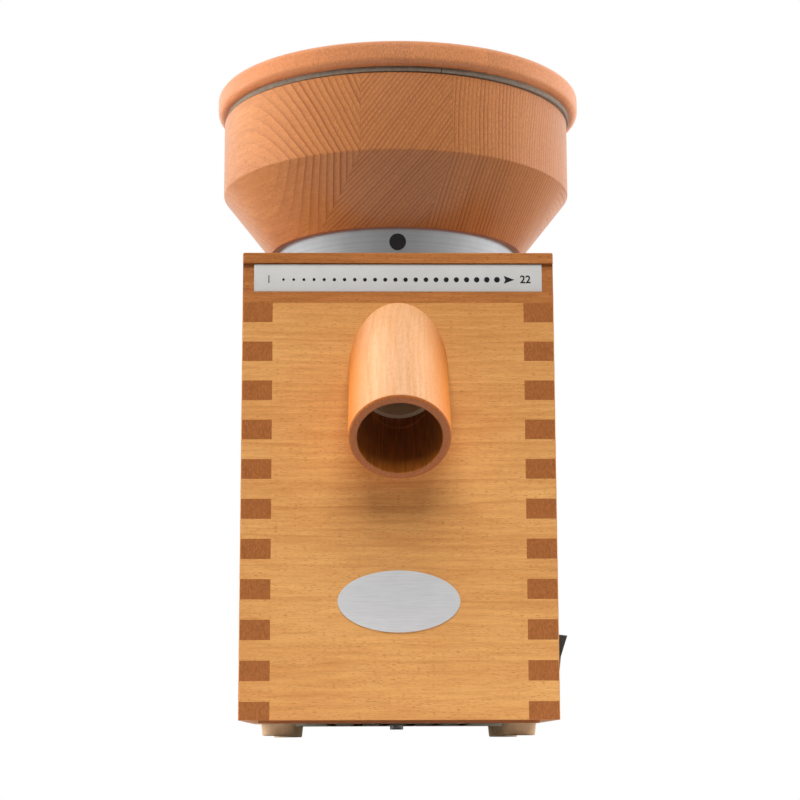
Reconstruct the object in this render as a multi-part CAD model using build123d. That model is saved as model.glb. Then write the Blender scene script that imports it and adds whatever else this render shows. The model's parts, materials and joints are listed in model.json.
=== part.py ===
from build123d import *
import math
import os

# Electric grain mill: a beech cabinet with the motor and the grinding stones inside, a beech
# spout on its front and a turned beech hopper on top.  Millimetres.  The model is built with Z
# as the common axis of hopper, stones and motor, the front at -Y and the table at Z = 0.  On
# export everything moves so that the origin lies below the centre of the whole mill.

# ---- Driving sizes -----------------------------------------------------------------------

# Cabinet of four boards with finger joints, and the thick board on top
BOX_WIDTH = 154.0
BOX_DEPTH = 154.0
WALL = 15.0
CABINET_HEIGHT = 203.75
FINGER = 9.75
TOP_BOARD = 25.65
EDGE_ROUND = 0.8
GROOVE_HEIGHT = 14.65
GROOVE_DEPTH = 2.0
GROOVE_LIP = 5.6
BLOCK_SIDE = 15.0

# Base sheet with its air slots, and the feet
BASE_SHEET = 1.4
BASE_INSET = 9.0
SLOT_COUNT = 6
SLOT_WIDTH = 5.0
SLOT_LENGTH = 90.0
SLOT_PITCH = 13.5
FOOT_HEIGHT = 5.8
FOOT_TOP_R = 8.25
FOOT_BOTTOM_R = 7.65
FOOT_SCREW_EDGE = 3.5
FOOT_RECESS_R = 4.2
FOOT_RECESS = 3.2

# Trim on the front
STRIP_WIDTH = 142.8
STRIP_HEIGHT = 14.0
STRIP_SHEET = 1.0
PLATE_WIDTH = 59.2
PLATE_HEIGHT = 29.8
PLATE_SHEET = 0.8
PLATE_CENTRE_UP = 56.4

# Spout and the plastic chute inside it
SPOUT_ANGLE = 45.0
SPOUT_R = 24.4
SPOUT_BORE_R = 20.15
SPOUT_REACH = 55.9
SPOUT_RIM_ROUND = 1.4
CHUTE_R = 19.5
CHUTE_WALL = 2.0
CHUTE_REACH = 12.4
CHUTE_STOP = 8.6

# Grinding chamber under the top board
POT_R = 56.0
POT_DEPTH = 26.95
POT_WALL = 2.5
POT_FLANGE = 3.0
POT_PLATE_GAP = 4.5

# Stones, the carrier of the lower stone and its wipers
FIXED_STONE = 24.0
RUNNER_STONE = 21.8
GRIND_GAP = 0.9
FIXED_EYE_R = 14.0
FIXED_EYE_MOUTH_R = 26.0
FIXED_EYE_TAPER = 8.0
RUNNER_EYE_R = 10.0
RUNNER_MOUTH_R = 24.0
RUNNER_TAPER = 5.0
CARRIER_LIFT = 3.5
CARRIER_DISC = 4.5
CARRIER_RIM_IN = 1.5
SPIGOT_HEIGHT = 8.0
HUB_R = 11.0
HUB_DROP = 8.0
FLOAT_TRAVEL = 1.0
BLADE_COUNT = 3
BLADE_SHEET = 1.5
BLADE_ROOT = 6.0
BLADE_TOP = 8.0
BLADE_LOW = 1.9

# Screw thread that carries the hopper and sets the grinding gap
THREAD_INSET = 12.0
HOLDER_WALL = 9.5
THREAD_PITCH = 4.0
SETTING_TURN = 65.0
INSERT_WALL = 5.5
INSERT_FLANGE = 2.5
INSERT_FLANGE_INSET = 0.5
INSERT_UP = 3.0
HOLDER_FLANGE = 3.5
HOLDER_WEB = 4.0
STONE_PROUD = 5.0
FEED_R = 18.0
FEED_WALL = 3.0
SEAL_FELT = 2.0
SEAL_WIDTH = 4.0

# Hopper with its aluminium ring, and the lid
RING_SHOW = 16.1
RING_GAP = 1.6
RING_R = 64.0
RING_WALL = 3.0
RING_FLANGE = 3.0
POINTER_R = 4.2
POINTER_PROUD = 0.9
HOPPER_OVERHANG = 2.8
CONE_HEIGHT = 32.5
HOPPER_R = 92.3
HOPPER_SIDE = 40.2
HOPPER_WALL = 8.3
BOWL_SLOPE = 30.0
THROAT_LIP = 5.0
RIM_ROUND = 1.2
LID_R = 96.95
LID_THICK = 12.5
LID_ROUND = 3.6
LID_OFFSET = 1.2
LID_SPIGOT = 6.0
LID_PLAY = 1.5
LID_FELT = 2.5
LID_FELT_GAP = 0.3
LID_FELT_SEAM = 0.4
LID_FELT_SEAM_TURN = 12.8

# Motor on its steel plate
MOTOR_PLATE = 3.0
MOTOR_R = 50.0
STACK = 50.0
BELL = 24.0
BELL_DISC = 5.0
BELL_WALL = 4.0
BEARING_R = 16.0
BEARING_SPLIT_R = 9.0
BEARING_WIDTH = 10.0
BEARING_SHAFT_R = 6.0
ROTOR_R = 28.5
ROTOR_GAP = 0.5
ROTOR_SHAFT_R = 7.0
STATOR_SLOTS = 12
STATOR_SLOT_WIDTH = 5.5
STATOR_SLOT_R = 40.5
STATOR_TOOTH = 2.0
END_TURNS = 11.0
BOLT_CIRCLE_R = 46.2
BOLT_R = 2.1
TOP_SHAFT_R = 5.0
THREAD_END_R = 4.0
COLLAR_R = 9.0
COLLAR = 2.2
SPRING_R = 7.6
SPRING_WIRE_R = 0.7
SPRING_TURNS = 4
PIN_R = 2.0
NUT_ACROSS = 13.0
NUT_HEIGHT = 5.0
THREAD_SHOWS = 1.5
FAN_R = 40.0
FAN_HEIGHT = 11.0
FAN_BLADES = 8
FAN_GAP = 3.0
FAN_DISC = 2.0
FAN_HUB_R = 10.0
FAN_BLADE = 1.8
SHAFT_END = 2.0
ROTOR_SHORTER = 2.0
END_RING = 3.0
END_RING_WIDE = 7.0
WINDOW_WIDE = 14.0
WINDOW_HIGH = 10.0
BOLT_HEAD = 3.0
BOLT_HEAD_R = 3.6
BOLT_NUT = 3.5
BOLT_END = 1.0
SLOT_MOUTH = 2.0
WASHER = 1.5

# Electrical parts in the bottom of the cabinet
CAPACITOR_R = 17.5
CAPACITOR_LENGTH = 62.0
CAPACITOR_BACK = 2.5
CLAMP_SHEET = 1.5
CLAMP_WIDTH = 14.0
TERMINAL_DEPTH = 12.0
TERMINAL_LENGTH = 36.0
TERMINAL_HEIGHT = 16.0
TERMINAL_UP = 22.0
SWITCH_BACK = 50.0
SWITCH_UP = 33.0
SWITCH_LONG = 27.4
SWITCH_WIDE = 19.8
SWITCH_DEEP = 22.0
BEZEL_EDGE = 1.8
BEZEL = 3.0
ROCKER_HALF = 11.0
ROCKER_WIDE = 14.6
ROCKER_RISE = 5.9
ROCKER_HOLLOW = 6.0
ROCKER_TILT = 12.0
ROCKER_SINK = 1.0
GLAND_SIDE = 37.0
GLAND_UP = 50.0
GLAND_R = 6.4
GLAND_BORE_R = 3.75
GLAND_FLANGE_R = 9.5
GLAND_FLANGE = 4.0
LEAD_R = 1.3
GLAND_NUT = 5.0
TERMINAL_WAYS = 4
TAG_LENGTH = 7.0
TAG_WIDE = 6.3
TAG_SHEET = 0.8
TAG_SPREAD = 6.0
CAN_ROUND = 2.0
ROCKER_PIN_R = 1.5
WELL_HALF = 12.6
WELL_DEEP = 7.0

# Fasteners
SCREW_R = 1.75
SCREW_HEAD_R = 3.5
SCREW_HEAD = 2.2
SMALL_SCREW_R = 1.25
SMALL_HEAD_R = 2.5
SCREW_BITE = 12.0
FOOT_SCREW_LENGTH = 22.0
PLATE_SCREW_LENGTH = 20.0

# Clearances
FIT = 0.1
RUNNING = 0.06
SLIDE_GAP = 0.5
SOFT_GAP = 0.3

# ---- Levels and places that follow -------------------------------------------------------

CABINET_BOTTOM = FOOT_HEIGHT + BASE_SHEET
CABINET_TOP = CABINET_BOTTOM + CABINET_HEIGHT
BOARD_TOP = CABINET_TOP + TOP_BOARD
HALF_WIDTH = BOX_WIDTH / 2
HALF_DEPTH = BOX_DEPTH / 2
INNER_WIDTH = HALF_WIDTH - WALL
INNER_DEPTH = HALF_DEPTH - WALL

POT_FLOOR = CABINET_TOP - POT_DEPTH
POT_BOTTOM = POT_FLOOR - POT_WALL
PLATE_TOP = POT_BOTTOM - POT_PLATE_GAP
PLATE_BOTTOM = PLATE_TOP - MOTOR_PLATE

CARRIER_BOTTOM = POT_FLOOR + CARRIER_LIFT
CARRIER_TOP = CARRIER_BOTTOM + CARRIER_DISC
HUB_BOTTOM = CARRIER_BOTTOM - HUB_DROP
RUNNER_TOP = CARRIER_TOP + RUNNER_STONE
SPIGOT_TOP = CARRIER_TOP + SPIGOT_HEIGHT
FIXED_BOTTOM = RUNNER_TOP + GRIND_GAP
WEB_BOTTOM = FIXED_BOTTOM + FIXED_STONE

THREAD_R = RING_R - THREAD_INSET
STONE_R = THREAD_R - HOLDER_WALL
INSERT_R = THREAD_R + INSERT_WALL
INSERT_FLANGE_R = RING_R - INSERT_FLANGE_INSET
CONE_BASE_R = RING_R + HOPPER_OVERHANG

HOPPER_BASE = BOARD_TOP + RING_SHOW
CREASE = HOPPER_BASE + CONE_HEIGHT
RIM = CREASE + HOPPER_SIDE
LID_BOTTOM = RIM + LID_FELT_GAP + LID_FELT
LID_TOP = LID_BOTTOM + LID_THICK
RING_BOTTOM = BOARD_TOP + RING_GAP
HOLDER_TOP = HOPPER_BASE - RING_FLANGE
HOLDER_SHOULDER = HOLDER_TOP - HOLDER_FLANGE
SETTING_RISE = THREAD_PITCH * SETTING_TURN / 360
SEAL_TOP = HOLDER_SHOULDER - SOFT_GAP
SEAL_BOTTOM = SEAL_TOP - SEAL_FELT
INSERT_TOP = SEAL_BOTTOM - SETTING_RISE - SOFT_GAP
INSERT_BOTTOM = CABINET_TOP + INSERT_UP
INSERT_SCREW_CIRCLE_R = (INSERT_R + INSERT_FLANGE_R) / 2
INSERT_SCREW_LENGTH = INSERT_FLANGE + SCREW_BITE
HOPPER_SCREW_CIRCLE_R = (THREAD_R + RING_R - RING_WALL) / 2
HOPPER_SCREW_LENGTH = HOLDER_FLANGE + RING_FLANGE + SCREW_BITE
POINTER_UP = (RING_BOTTOM + HOPPER_BASE) / 2
POT_SCREW_LENGTH = POT_FLANGE + SCREW_BITE
SEAL_SEAT_R = HUB_R + SEAL_WIDTH

BELL_TOP = PLATE_BOTTOM
STACK_TOP = BELL_TOP - BELL
STACK_BOTTOM = STACK_TOP - STACK
BELL_BOTTOM = STACK_BOTTOM - BELL
UPPER_BEARING_TOP = BELL_TOP - BELL_DISC
UPPER_BEARING_BOTTOM = UPPER_BEARING_TOP - BEARING_WIDTH
LOWER_BEARING_BOTTOM = BELL_BOTTOM + BELL_DISC
LOWER_BEARING_TOP = LOWER_BEARING_BOTTOM + BEARING_WIDTH
FAN_TOP = BELL_BOTTOM - FAN_GAP
FAN_BOTTOM = FAN_TOP - FAN_HEIGHT
SHAFT_BOTTOM = FAN_BOTTOM - SHAFT_END
COLLAR_TOP = UPPER_BEARING_TOP + COLLAR
NUT_BOTTOM = SPIGOT_TOP + FIT
SHAFT_TOP = NUT_BOTTOM + NUT_HEIGHT + THREAD_SHOWS
PIN_HEIGHT = (HUB_BOTTOM + CARRIER_BOTTOM) / 2

SLANT = math.radians(SPOUT_ANGLE)
SPOUT_UP = CABINET_TOP - SPOUT_R / math.cos(SLANT)
SPOUT_PLANE = Plane(
    origin=(0, -HALF_DEPTH, SPOUT_UP),
    x_dir=(1, 0, 0),
    z_dir=(0, -math.cos(SLANT), -math.sin(SLANT)),
)

SWITCH_PLACE = Vector(HALF_WIDTH, -HALF_DEPTH + SWITCH_BACK, CABINET_BOTTOM + SWITCH_UP)
GLAND_PLACE = Vector(-GLAND_SIDE, HALF_DEPTH, CABINET_BOTTOM + GLAND_UP)
FOOT_X = INNER_WIDTH - FOOT_SCREW_EDGE
FOOT_Y = INNER_DEPTH - FOOT_SCREW_EDGE
BLOCK_X = INNER_WIDTH - BLOCK_SIDE / 2
BLOCK_Y = INNER_DEPTH - BLOCK_SIDE / 2
CAPACITOR_PLACE = Vector(
    0,
    INNER_DEPTH - CAPACITOR_BACK - CAPACITOR_R,
    CABINET_BOTTOM + CLAMP_SHEET + FIT + CAPACITOR_R,
)
CLAMP_OUTER_R = CAPACITOR_R + FIT + CLAMP_SHEET
CLAMP_SCREW_PLACE = Pos(0, CAPACITOR_PLACE.Y - CLAMP_OUTER_R - SCREW_HEAD_R - SLIDE_GAP, 0)

SPOUT_FRONT = (
    HALF_DEPTH
    + (SPOUT_REACH - SPOUT_RIM_ROUND) * math.cos(SLANT)
    + (SPOUT_R - SPOUT_RIM_ROUND) * math.sin(SLANT)
    + SPOUT_RIM_ROUND
)
BACK_END = max(LID_R, HALF_DEPTH + GLAND_FLANGE)
ORIGIN = Vector(LID_OFFSET, (BACK_END - SPOUT_FRONT) / 2, 0)


# ---- Shared forms ------------------------------------------------------------------------

def disc(radius, bottom, top):
    """A round bar on the Z axis between two heights."""
    return Pos(0, 0, bottom) * Cylinder(
        radius, top - bottom, align=(Align.CENTER, Align.CENTER, Align.MIN)
    )


def ring(outer, inner, bottom, top):
    """A plain ring on the Z axis between two heights."""
    return disc(outer, bottom, top) - disc(inner, bottom, top)


def block(x_from, x_to, y_from, y_to, z_from, z_to):
    """A square-edged block between two corners."""
    middle = Pos((x_from + x_to) / 2, (y_from + y_to) / 2, (z_from + z_to) / 2)
    return middle * Box(x_to - x_from, y_to - y_from, z_to - z_from)


def turned(*points):
    """A solid turned about the Z axis from its half section of (radius, height) points."""
    return revolve(Plane.XZ * make_face(Polyline(*points, close=True)), Axis.Z)


def corners(x, y):
    """The four places at plus and minus x and y."""
    return [Pos(side * x, end * y, 0) for end in (-1, 1) for side in (-1, 1)]


def around(radius, count, start=0.0):
    """Places evenly spaced on a circle, turned so that their X points outwards."""
    return [Rot(0, 0, start + 360 * i / count) * Pos(radius, 0, 0) for i in range(count)]


def slanted(radius, start, end):
    """A round bar on the spout's axis, between two distances from the front of the cabinet."""
    return SPOUT_PLANE * Pos(0, 0, start) * Cylinder(
        radius, end - start, align=(Align.CENTER, Align.CENTER, Align.MIN)
    )


def countersunk(seat, length, up=True, shank=SCREW_R, head=SCREW_HEAD_R, room=0.0):
    """A countersunk screw, its head flush with the height seat, or its hole if room is given."""
    way = 1 if up else -1
    cone_end = seat + way * (head - shank)
    tip = seat + way * (length + room)
    cone = turned((0, seat), (head + room, seat), (shank + room, cone_end), (0, cone_end))
    return cone + disc(shank + room, min(seat, tip), max(seat, tip))


def insert_screw(room=0.0):
    """One of the small screws of the thread insert, or its hole."""
    return countersunk(BOARD_TOP, INSERT_SCREW_LENGTH, False, SMALL_SCREW_R, SMALL_HEAD_R, room)


def pot_screw(room=0.0):
    """One of the screws up through the pot's flange into the top board, or its hole."""
    return countersunk(CABINET_TOP - POT_FLANGE, POT_SCREW_LENGTH, room=room)


def plate_screw(room=0.0):
    """One of the screws down through the motor plate into a corner block, or its hole."""
    return countersunk(PLATE_TOP, PLATE_SCREW_LENGTH, up=False, room=room)


def hopper_screw(room=0.0):
    """One of the screws up through holder and ring into the hopper, or its hole."""
    return countersunk(HOLDER_SHOULDER, HOPPER_SCREW_LENGTH, room=room)


# ---- Cabinet -----------------------------------------------------------------------------

def finger_bands(first):
    """Height bands of every second finger, counted down from the cabinet's top edge."""
    count = math.ceil(CABINET_HEIGHT / FINGER)
    bands = []
    for i in range(first, count, 2):
        high = CABINET_TOP - i * FINGER
        low = max(high - FINGER, CABINET_BOTTOM)
        bands.append((low, high))
    return bands


def round_corners(board):
    """Softens the upright outer edges of a board at the cabinet's corners."""
    edges = [
        edge for edge in board.edges().filter_by(Axis.Z)
        if abs(abs(edge.center().X) - HALF_WIDTH) < FIT
        and abs(abs(edge.center().Y) - HALF_DEPTH) < FIT
    ]
    return fillet(edges, EDGE_ROUND)


def front_or_back_board(end):
    """A board across the front (end -1) or back (end 1), with fingers 2, 4, 6 and so on."""
    inner = end * INNER_DEPTH
    outer = end * HALF_DEPTH
    low_y = min(inner, outer)
    high_y = max(inner, outer)
    board = block(-INNER_WIDTH, INNER_WIDTH, low_y, high_y, CABINET_BOTTOM, CABINET_TOP)
    for low, high in finger_bands(1):
        board += block(-HALF_WIDTH, HALF_WIDTH, low_y, high_y, low, high)
    return round_corners(board)


def side_board(side):
    """A board on the left (side -1) or right (side 1), with fingers 1, 3, 5 and so on."""
    inner = side * INNER_WIDTH
    outer = side * HALF_WIDTH
    low_x = min(inner, outer)
    high_x = max(inner, outer)
    board = block(low_x, high_x, -INNER_DEPTH, INNER_DEPTH, CABINET_BOTTOM, CABINET_TOP)
    for low, high in finger_bands(0):
        board += block(low_x, high_x, -HALF_DEPTH, HALF_DEPTH, low, high)
    return round_corners(board)


def front_panel():
    """The front board, with the hole that the chute passes through."""
    return front_or_back_board(-1) - slanted(CHUTE_R + FIT, -3 * WALL, 3 * WALL)


def back_panel():
    place = Pos(GLAND_PLACE.X, 0, GLAND_PLACE.Z) * Rot(-90, 0, 0)
    return front_or_back_board(1) - place * disc(GLAND_R + FIT, INNER_DEPTH - FIT, HALF_DEPTH + FIT)


def left_panel():
    return side_board(-1)


def right_panel():
    half_wide = SWITCH_WIDE / 2 + FIT
    half_long = SWITCH_LONG / 2 + FIT
    cut_out = block(
        INNER_WIDTH - FIT, HALF_WIDTH + FIT,
        SWITCH_PLACE.Y - half_wide, SWITCH_PLACE.Y + half_wide,
        SWITCH_PLACE.Z - half_long, SWITCH_PLACE.Z + half_long,
    )
    return side_board(1) - cut_out


def top_board():
    """The board over the cabinet, with the groove of the scale and the seat of the insert."""
    board = block(-HALF_WIDTH, HALF_WIDTH, -HALF_DEPTH, HALF_DEPTH, CABINET_TOP, BOARD_TOP)
    board = fillet(board.edges().filter_by(Axis.Z) + board.faces().sort_by(Axis.Z)[-1].edges(), EDGE_ROUND)
    groove_low = CABINET_TOP + GROOVE_LIP
    board -= block(
        -HALF_WIDTH - FIT, HALF_WIDTH + FIT, -HALF_DEPTH - FIT, -HALF_DEPTH + GROOVE_DEPTH,
        groove_low, groove_low + GROOVE_HEIGHT,
    )
    board -= disc(INSERT_R + FIT, CABINET_TOP, BOARD_TOP)
    board -= disc(INSERT_FLANGE_R + FIT, BOARD_TOP - INSERT_FLANGE, BOARD_TOP)
    for place in around(INSERT_SCREW_CIRCLE_R, 4, 45):
        board -= place * insert_screw(FIT)
    for place in corners(BLOCK_X, BLOCK_Y):
        board -= place * pot_screw(FIT)
    return board


def corner_blocks():
    """Glue blocks in the cabinet's corners, which also take the plate and foot screws."""
    half = BLOCK_SIDE / 2
    blocks = []
    for place in corners(BLOCK_X, BLOCK_Y):
        blocks.append(place * block(-half, half, -half, half, CABINET_BOTTOM, PLATE_BOTTOM))
        blocks[-1] -= place * plate_screw(FIT)
    drilled = Compound(blocks)
    for place in corners(FOOT_X, FOOT_Y):
        drilled -= place * foot_screw_hole()
    return drilled


# ---- Base and feet -----------------------------------------------------------------------

def foot_screw_hole():
    return disc(SCREW_R + FIT, FOOT_RECESS, FOOT_RECESS + FOOT_SCREW_LENGTH + FIT)


def base_plate():
    """The sheet under the cabinet, with long air slots under the motor."""
    half_x = HALF_WIDTH - BASE_INSET
    half_y = HALF_DEPTH - BASE_INSET
    sheet = block(-half_x, half_x, -half_y, half_y, FOOT_HEIGHT, CABINET_BOTTOM)
    sheet = fillet(sheet.edges().filter_by(Axis.Z), 2 * EDGE_ROUND)
    slot = Pos(0, 0, FOOT_HEIGHT) * extrude(
        Rot(0, 0, 90) * SlotOverall(SLOT_LENGTH, SLOT_WIDTH), BASE_SHEET
    )
    for i in range(SLOT_COUNT):
        sheet -= Pos((i - (SLOT_COUNT - 1) / 2) * SLOT_PITCH, 0, 0) * slot
    for place in corners(FOOT_X, FOOT_Y):
        sheet -= place * foot_screw_hole()
    return sheet - CLAMP_SCREW_PLACE * disc(SCREW_R + FIT, FOOT_HEIGHT, CABINET_BOTTOM)


def foot(side, end):
    """A tapered rubber foot with a recess for its screw."""
    body = turned(
        (0, 0), (FOOT_BOTTOM_R - EDGE_ROUND, 0), (FOOT_BOTTOM_R, EDGE_ROUND),
        (FOOT_TOP_R, FOOT_HEIGHT), (0, FOOT_HEIGHT),
    )
    body -= disc(FOOT_RECESS_R, 0, FOOT_RECESS)
    body -= disc(SCREW_R + FIT, 0, FOOT_HEIGHT)
    return Pos(side * FOOT_X, end * FOOT_Y, 0) * body


def foot_screws():
    """Pan-head screws that hold the feet and the base sheet to the corner blocks."""
    screw = disc(SCREW_HEAD_R, FOOT_RECESS - SCREW_HEAD, FOOT_RECESS)
    screw += disc(SCREW_R, FOOT_RECESS, FOOT_RECESS + FOOT_SCREW_LENGTH)
    return Compound([place * screw for place in corners(FOOT_X, FOOT_Y)])


# ---- Trim on the front -------------------------------------------------------------------

def scale_strip():
    """The aluminium strip in the groove, which carries the scale."""
    middle = CABINET_TOP + GROOVE_LIP + GROOVE_HEIGHT / 2
    back = -HALF_DEPTH + GROOVE_DEPTH
    return block(
        -STRIP_WIDTH / 2, STRIP_WIDTH / 2, back - STRIP_SHEET, back,
        middle - STRIP_HEIGHT / 2, middle + STRIP_HEIGHT / 2,
    )


def name_plate():
    """The oval aluminium plate glued to the front panel."""
    outline = Plane.XZ * Ellipse(PLATE_WIDTH / 2, PLATE_HEIGHT / 2)
    plate = extrude(outline, PLATE_SHEET)
    return Pos(0, -HALF_DEPTH, CABINET_BOTTOM + PLATE_CENTRE_UP) * plate


# ---- Spout, chute and grinding chamber ---------------------------------------------------

def spout():
    """The turned beech tube, cut upright at its back and glued to the front panel.

    Its bore is narrower at the back, where it takes the end of the chute.
    """
    tube = slanted(SPOUT_R, -2 * SPOUT_R, SPOUT_REACH)
    rim = tube.edges().filter_by(GeomType.CIRCLE).sort_by(Axis.Y)[0]
    tube = fillet(rim, SPOUT_RIM_ROUND)
    tube -= slanted(CHUTE_R + FIT, -2 * SPOUT_R, SPOUT_REACH)
    tube -= slanted(SPOUT_BORE_R, CHUTE_REACH + CHUTE_STOP, SPOUT_REACH + 1)
    span = 4 * SPOUT_R
    return tube - block(-span, span, -HALF_DEPTH, span, SPOUT_UP - span, SPOUT_UP + span)


def flour_chute():
    """The plastic tube from the chamber to the spout, with a flat roof under the top board."""
    span = 4 * SPOUT_R
    roof = CABINET_TOP - SOFT_GAP
    tube = slanted(CHUTE_R, -span, CHUTE_REACH)
    tube -= block(-span, span, -span, span, roof, roof + span)
    bore = slanted(CHUTE_R - CHUTE_WALL, -span, CHUTE_REACH + 1)
    bore -= block(-span, span, -span, span, roof - CHUTE_WALL, roof + span)
    tube -= bore
    return tube - disc(POT_R, POT_FLOOR, CABINET_TOP)


def chamber_pot():
    """The plastic pot round the lower stone, with the hole that the chute plugs into."""
    pot = disc(POT_R + POT_WALL, POT_BOTTOM, CABINET_TOP)
    pot += block(
        -INNER_WIDTH + SLIDE_GAP, INNER_WIDTH - SLIDE_GAP, -INNER_DEPTH + SLIDE_GAP,
        INNER_DEPTH - SLIDE_GAP, CABINET_TOP - POT_FLANGE, CABINET_TOP,
    )
    pot -= disc(POT_R, POT_FLOOR, CABINET_TOP)
    pot -= disc(SEAL_SEAT_R, POT_BOTTOM, POT_FLOOR)
    pot -= slanted(CHUTE_R + FIT, -2 * SPOUT_R, SPOUT_R)
    for place in corners(BLOCK_X, BLOCK_Y):
        pot -= place * pot_screw(FIT)
    return pot


def pot_screws():
    """Screws that hold the pot under the top board."""
    return Compound([place * pot_screw() for place in corners(BLOCK_X, BLOCK_Y)])


def shaft_seal():
    """The felt ring in the pot's floor, round the hub of the stone carrier."""
    return ring(SEAL_SEAT_R - FIT, HUB_R + SOFT_GAP, POT_BOTTOM, POT_FLOOR)


# ---- Stones ------------------------------------------------------------------------------

def fixed_stone():
    """The upper stone, whose eye opens downwards into the pre-grinding space."""
    taper_top = FIXED_BOTTOM + FIXED_EYE_TAPER
    return turned(
        (FIXED_EYE_MOUTH_R, FIXED_BOTTOM), (STONE_R, FIXED_BOTTOM), (STONE_R, WEB_BOTTOM),
        (FIXED_EYE_R, WEB_BOTTOM), (FIXED_EYE_R, taper_top),
    )


def runner_stone():
    """The lower stone, which turns with the motor."""
    return turned(
        (RUNNER_EYE_R, CARRIER_TOP), (STONE_R, CARRIER_TOP), (STONE_R, RUNNER_TOP),
        (RUNNER_MOUTH_R, RUNNER_TOP), (RUNNER_EYE_R, RUNNER_TOP - RUNNER_TAPER),
    )


def stone_carrier():
    """The disc and hub under the lower stone.  The cross pin turns it and lets it float."""
    rim = STONE_R - CARRIER_RIM_IN
    body = disc(rim, CARRIER_BOTTOM, CARRIER_TOP)
    body += disc(HUB_R, HUB_BOTTOM, CARRIER_BOTTOM)
    body += disc(RUNNER_EYE_R - FIT, CARRIER_TOP, SPIGOT_TOP)
    body -= disc(TOP_SHAFT_R + RUNNING, HUB_BOTTOM, SPIGOT_TOP)
    slot = Rot(0, 90, 0) * disc(PIN_R + FIT, -HUB_R, HUB_R)
    body -= Pos(0, 0, PIN_HEIGHT) * slot
    body -= Pos(0, 0, PIN_HEIGHT + FLOAT_TRAVEL + FIT) * slot
    half = PIN_R + FIT
    body -= block(-HUB_R, HUB_R, -half, half, PIN_HEIGHT, PIN_HEIGHT + FLOAT_TRAVEL + FIT)
    half_blade = BLADE_SHEET / 2 + FIT / 2
    root = block(-BLADE_ROOT - FIT, BLADE_ROOT, -half_blade, half_blade, CARRIER_BOTTOM, CARRIER_TOP)
    for place in around(rim, BLADE_COUNT, 90):
        body -= place * root
    return body


def wiper_blades():
    """Steel blades in the carrier's rim that sweep the flour round to the chute."""
    rim = STONE_R - CARRIER_RIM_IN
    half = BLADE_SHEET / 2
    reach = POT_R - SLIDE_GAP - rim
    clear = CARRIER_RIM_IN + SLIDE_GAP
    blade = block(-BLADE_ROOT, clear, -half, half, CARRIER_BOTTOM, CARRIER_TOP - FIT)
    blade += block(clear, reach, -half, half, CARRIER_BOTTOM - BLADE_LOW, CARRIER_TOP + BLADE_TOP)
    return Compound([place * blade for place in around(rim, BLADE_COUNT, 90)])


# ---- Thread insert, hopper and lid -------------------------------------------------------

def thread_insert():
    """The ring let into the top board, whose thread carries the hopper."""
    insert = ring(INSERT_R, THREAD_R, INSERT_BOTTOM, INSERT_TOP)
    insert += ring(INSERT_FLANGE_R, THREAD_R, BOARD_TOP - INSERT_FLANGE, BOARD_TOP)
    for place in around(INSERT_SCREW_CIRCLE_R, 4, 45):
        insert -= place * insert_screw(FIT)
    return insert


def insert_screws():
    """Screws that hold the thread insert in the top board."""
    places = around(INSERT_SCREW_CIRCLE_R, 4, 45)
    return Compound([place * insert_screw() for place in places])


def thread_felt():
    """The felt ring between the insert and the stone holder, which keeps the flour in."""
    middle = (THREAD_R + INSERT_R) / 2
    return ring(middle + SEAL_WIDTH / 2, middle - SEAL_WIDTH / 2, SEAL_BOTTOM, SEAL_TOP)


def stone_holder():
    """The threaded holder of the upper stone, screwed to the hopper through its ring."""
    outer = THREAD_R - RUNNING
    body = ring(outer, STONE_R + FIT, FIXED_BOTTOM + STONE_PROUD, HOLDER_TOP)
    body += disc(outer, WEB_BOTTOM, WEB_BOTTOM + HOLDER_WEB)
    body += disc(FEED_R + FEED_WALL, WEB_BOTTOM, HOPPER_BASE)
    body += ring(RING_R - RING_WALL - SLIDE_GAP, THREAD_R - RING_WALL, HOLDER_SHOULDER, HOLDER_TOP)
    body -= disc(FEED_R, WEB_BOTTOM, HOPPER_BASE)
    for place in around(HOPPER_SCREW_CIRCLE_R, 6):
        body -= place * hopper_screw(FIT)
    return body


def hopper_ring():
    """The aluminium ring under the hopper, which carries the pointer."""
    body = ring(RING_R, RING_R - RING_WALL, RING_BOTTOM, HOPPER_BASE)
    body += ring(RING_R, THREAD_R + SLIDE_GAP, HOLDER_TOP, HOPPER_BASE)
    body = fillet(body.edges().filter_by(GeomType.CIRCLE).group_by(Axis.Z)[0], EDGE_ROUND / 2)
    for place in around(HOPPER_SCREW_CIRCLE_R, 6):
        body -= place * hopper_screw(FIT)
    shank = Rot(90, 0, 0) * disc(POINTER_R / 2 + FIT / 2, RING_R - 2 * RING_WALL, RING_R + 1)
    return body - Pos(0, 0, POINTER_UP) * shank


def pointer_plug():
    """The black plug in the ring that points at the scale."""
    plug = Rot(90, 0, 0) * disc(POINTER_R, RING_R - RING_WALL / 3, RING_R + POINTER_PROUD)
    plug = fillet(plug.edges().filter_by(GeomType.CIRCLE).sort_by(Axis.Y)[0], POINTER_PROUD / 3)
    plug -= disc(RING_R, -2 * POINTER_R, 2 * POINTER_R)
    plug += Rot(90, 0, 0) * disc(POINTER_R / 2, RING_R - RING_WALL, RING_R + POINTER_PROUD / 2)
    return Pos(0, 0, POINTER_UP) * plug


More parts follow.
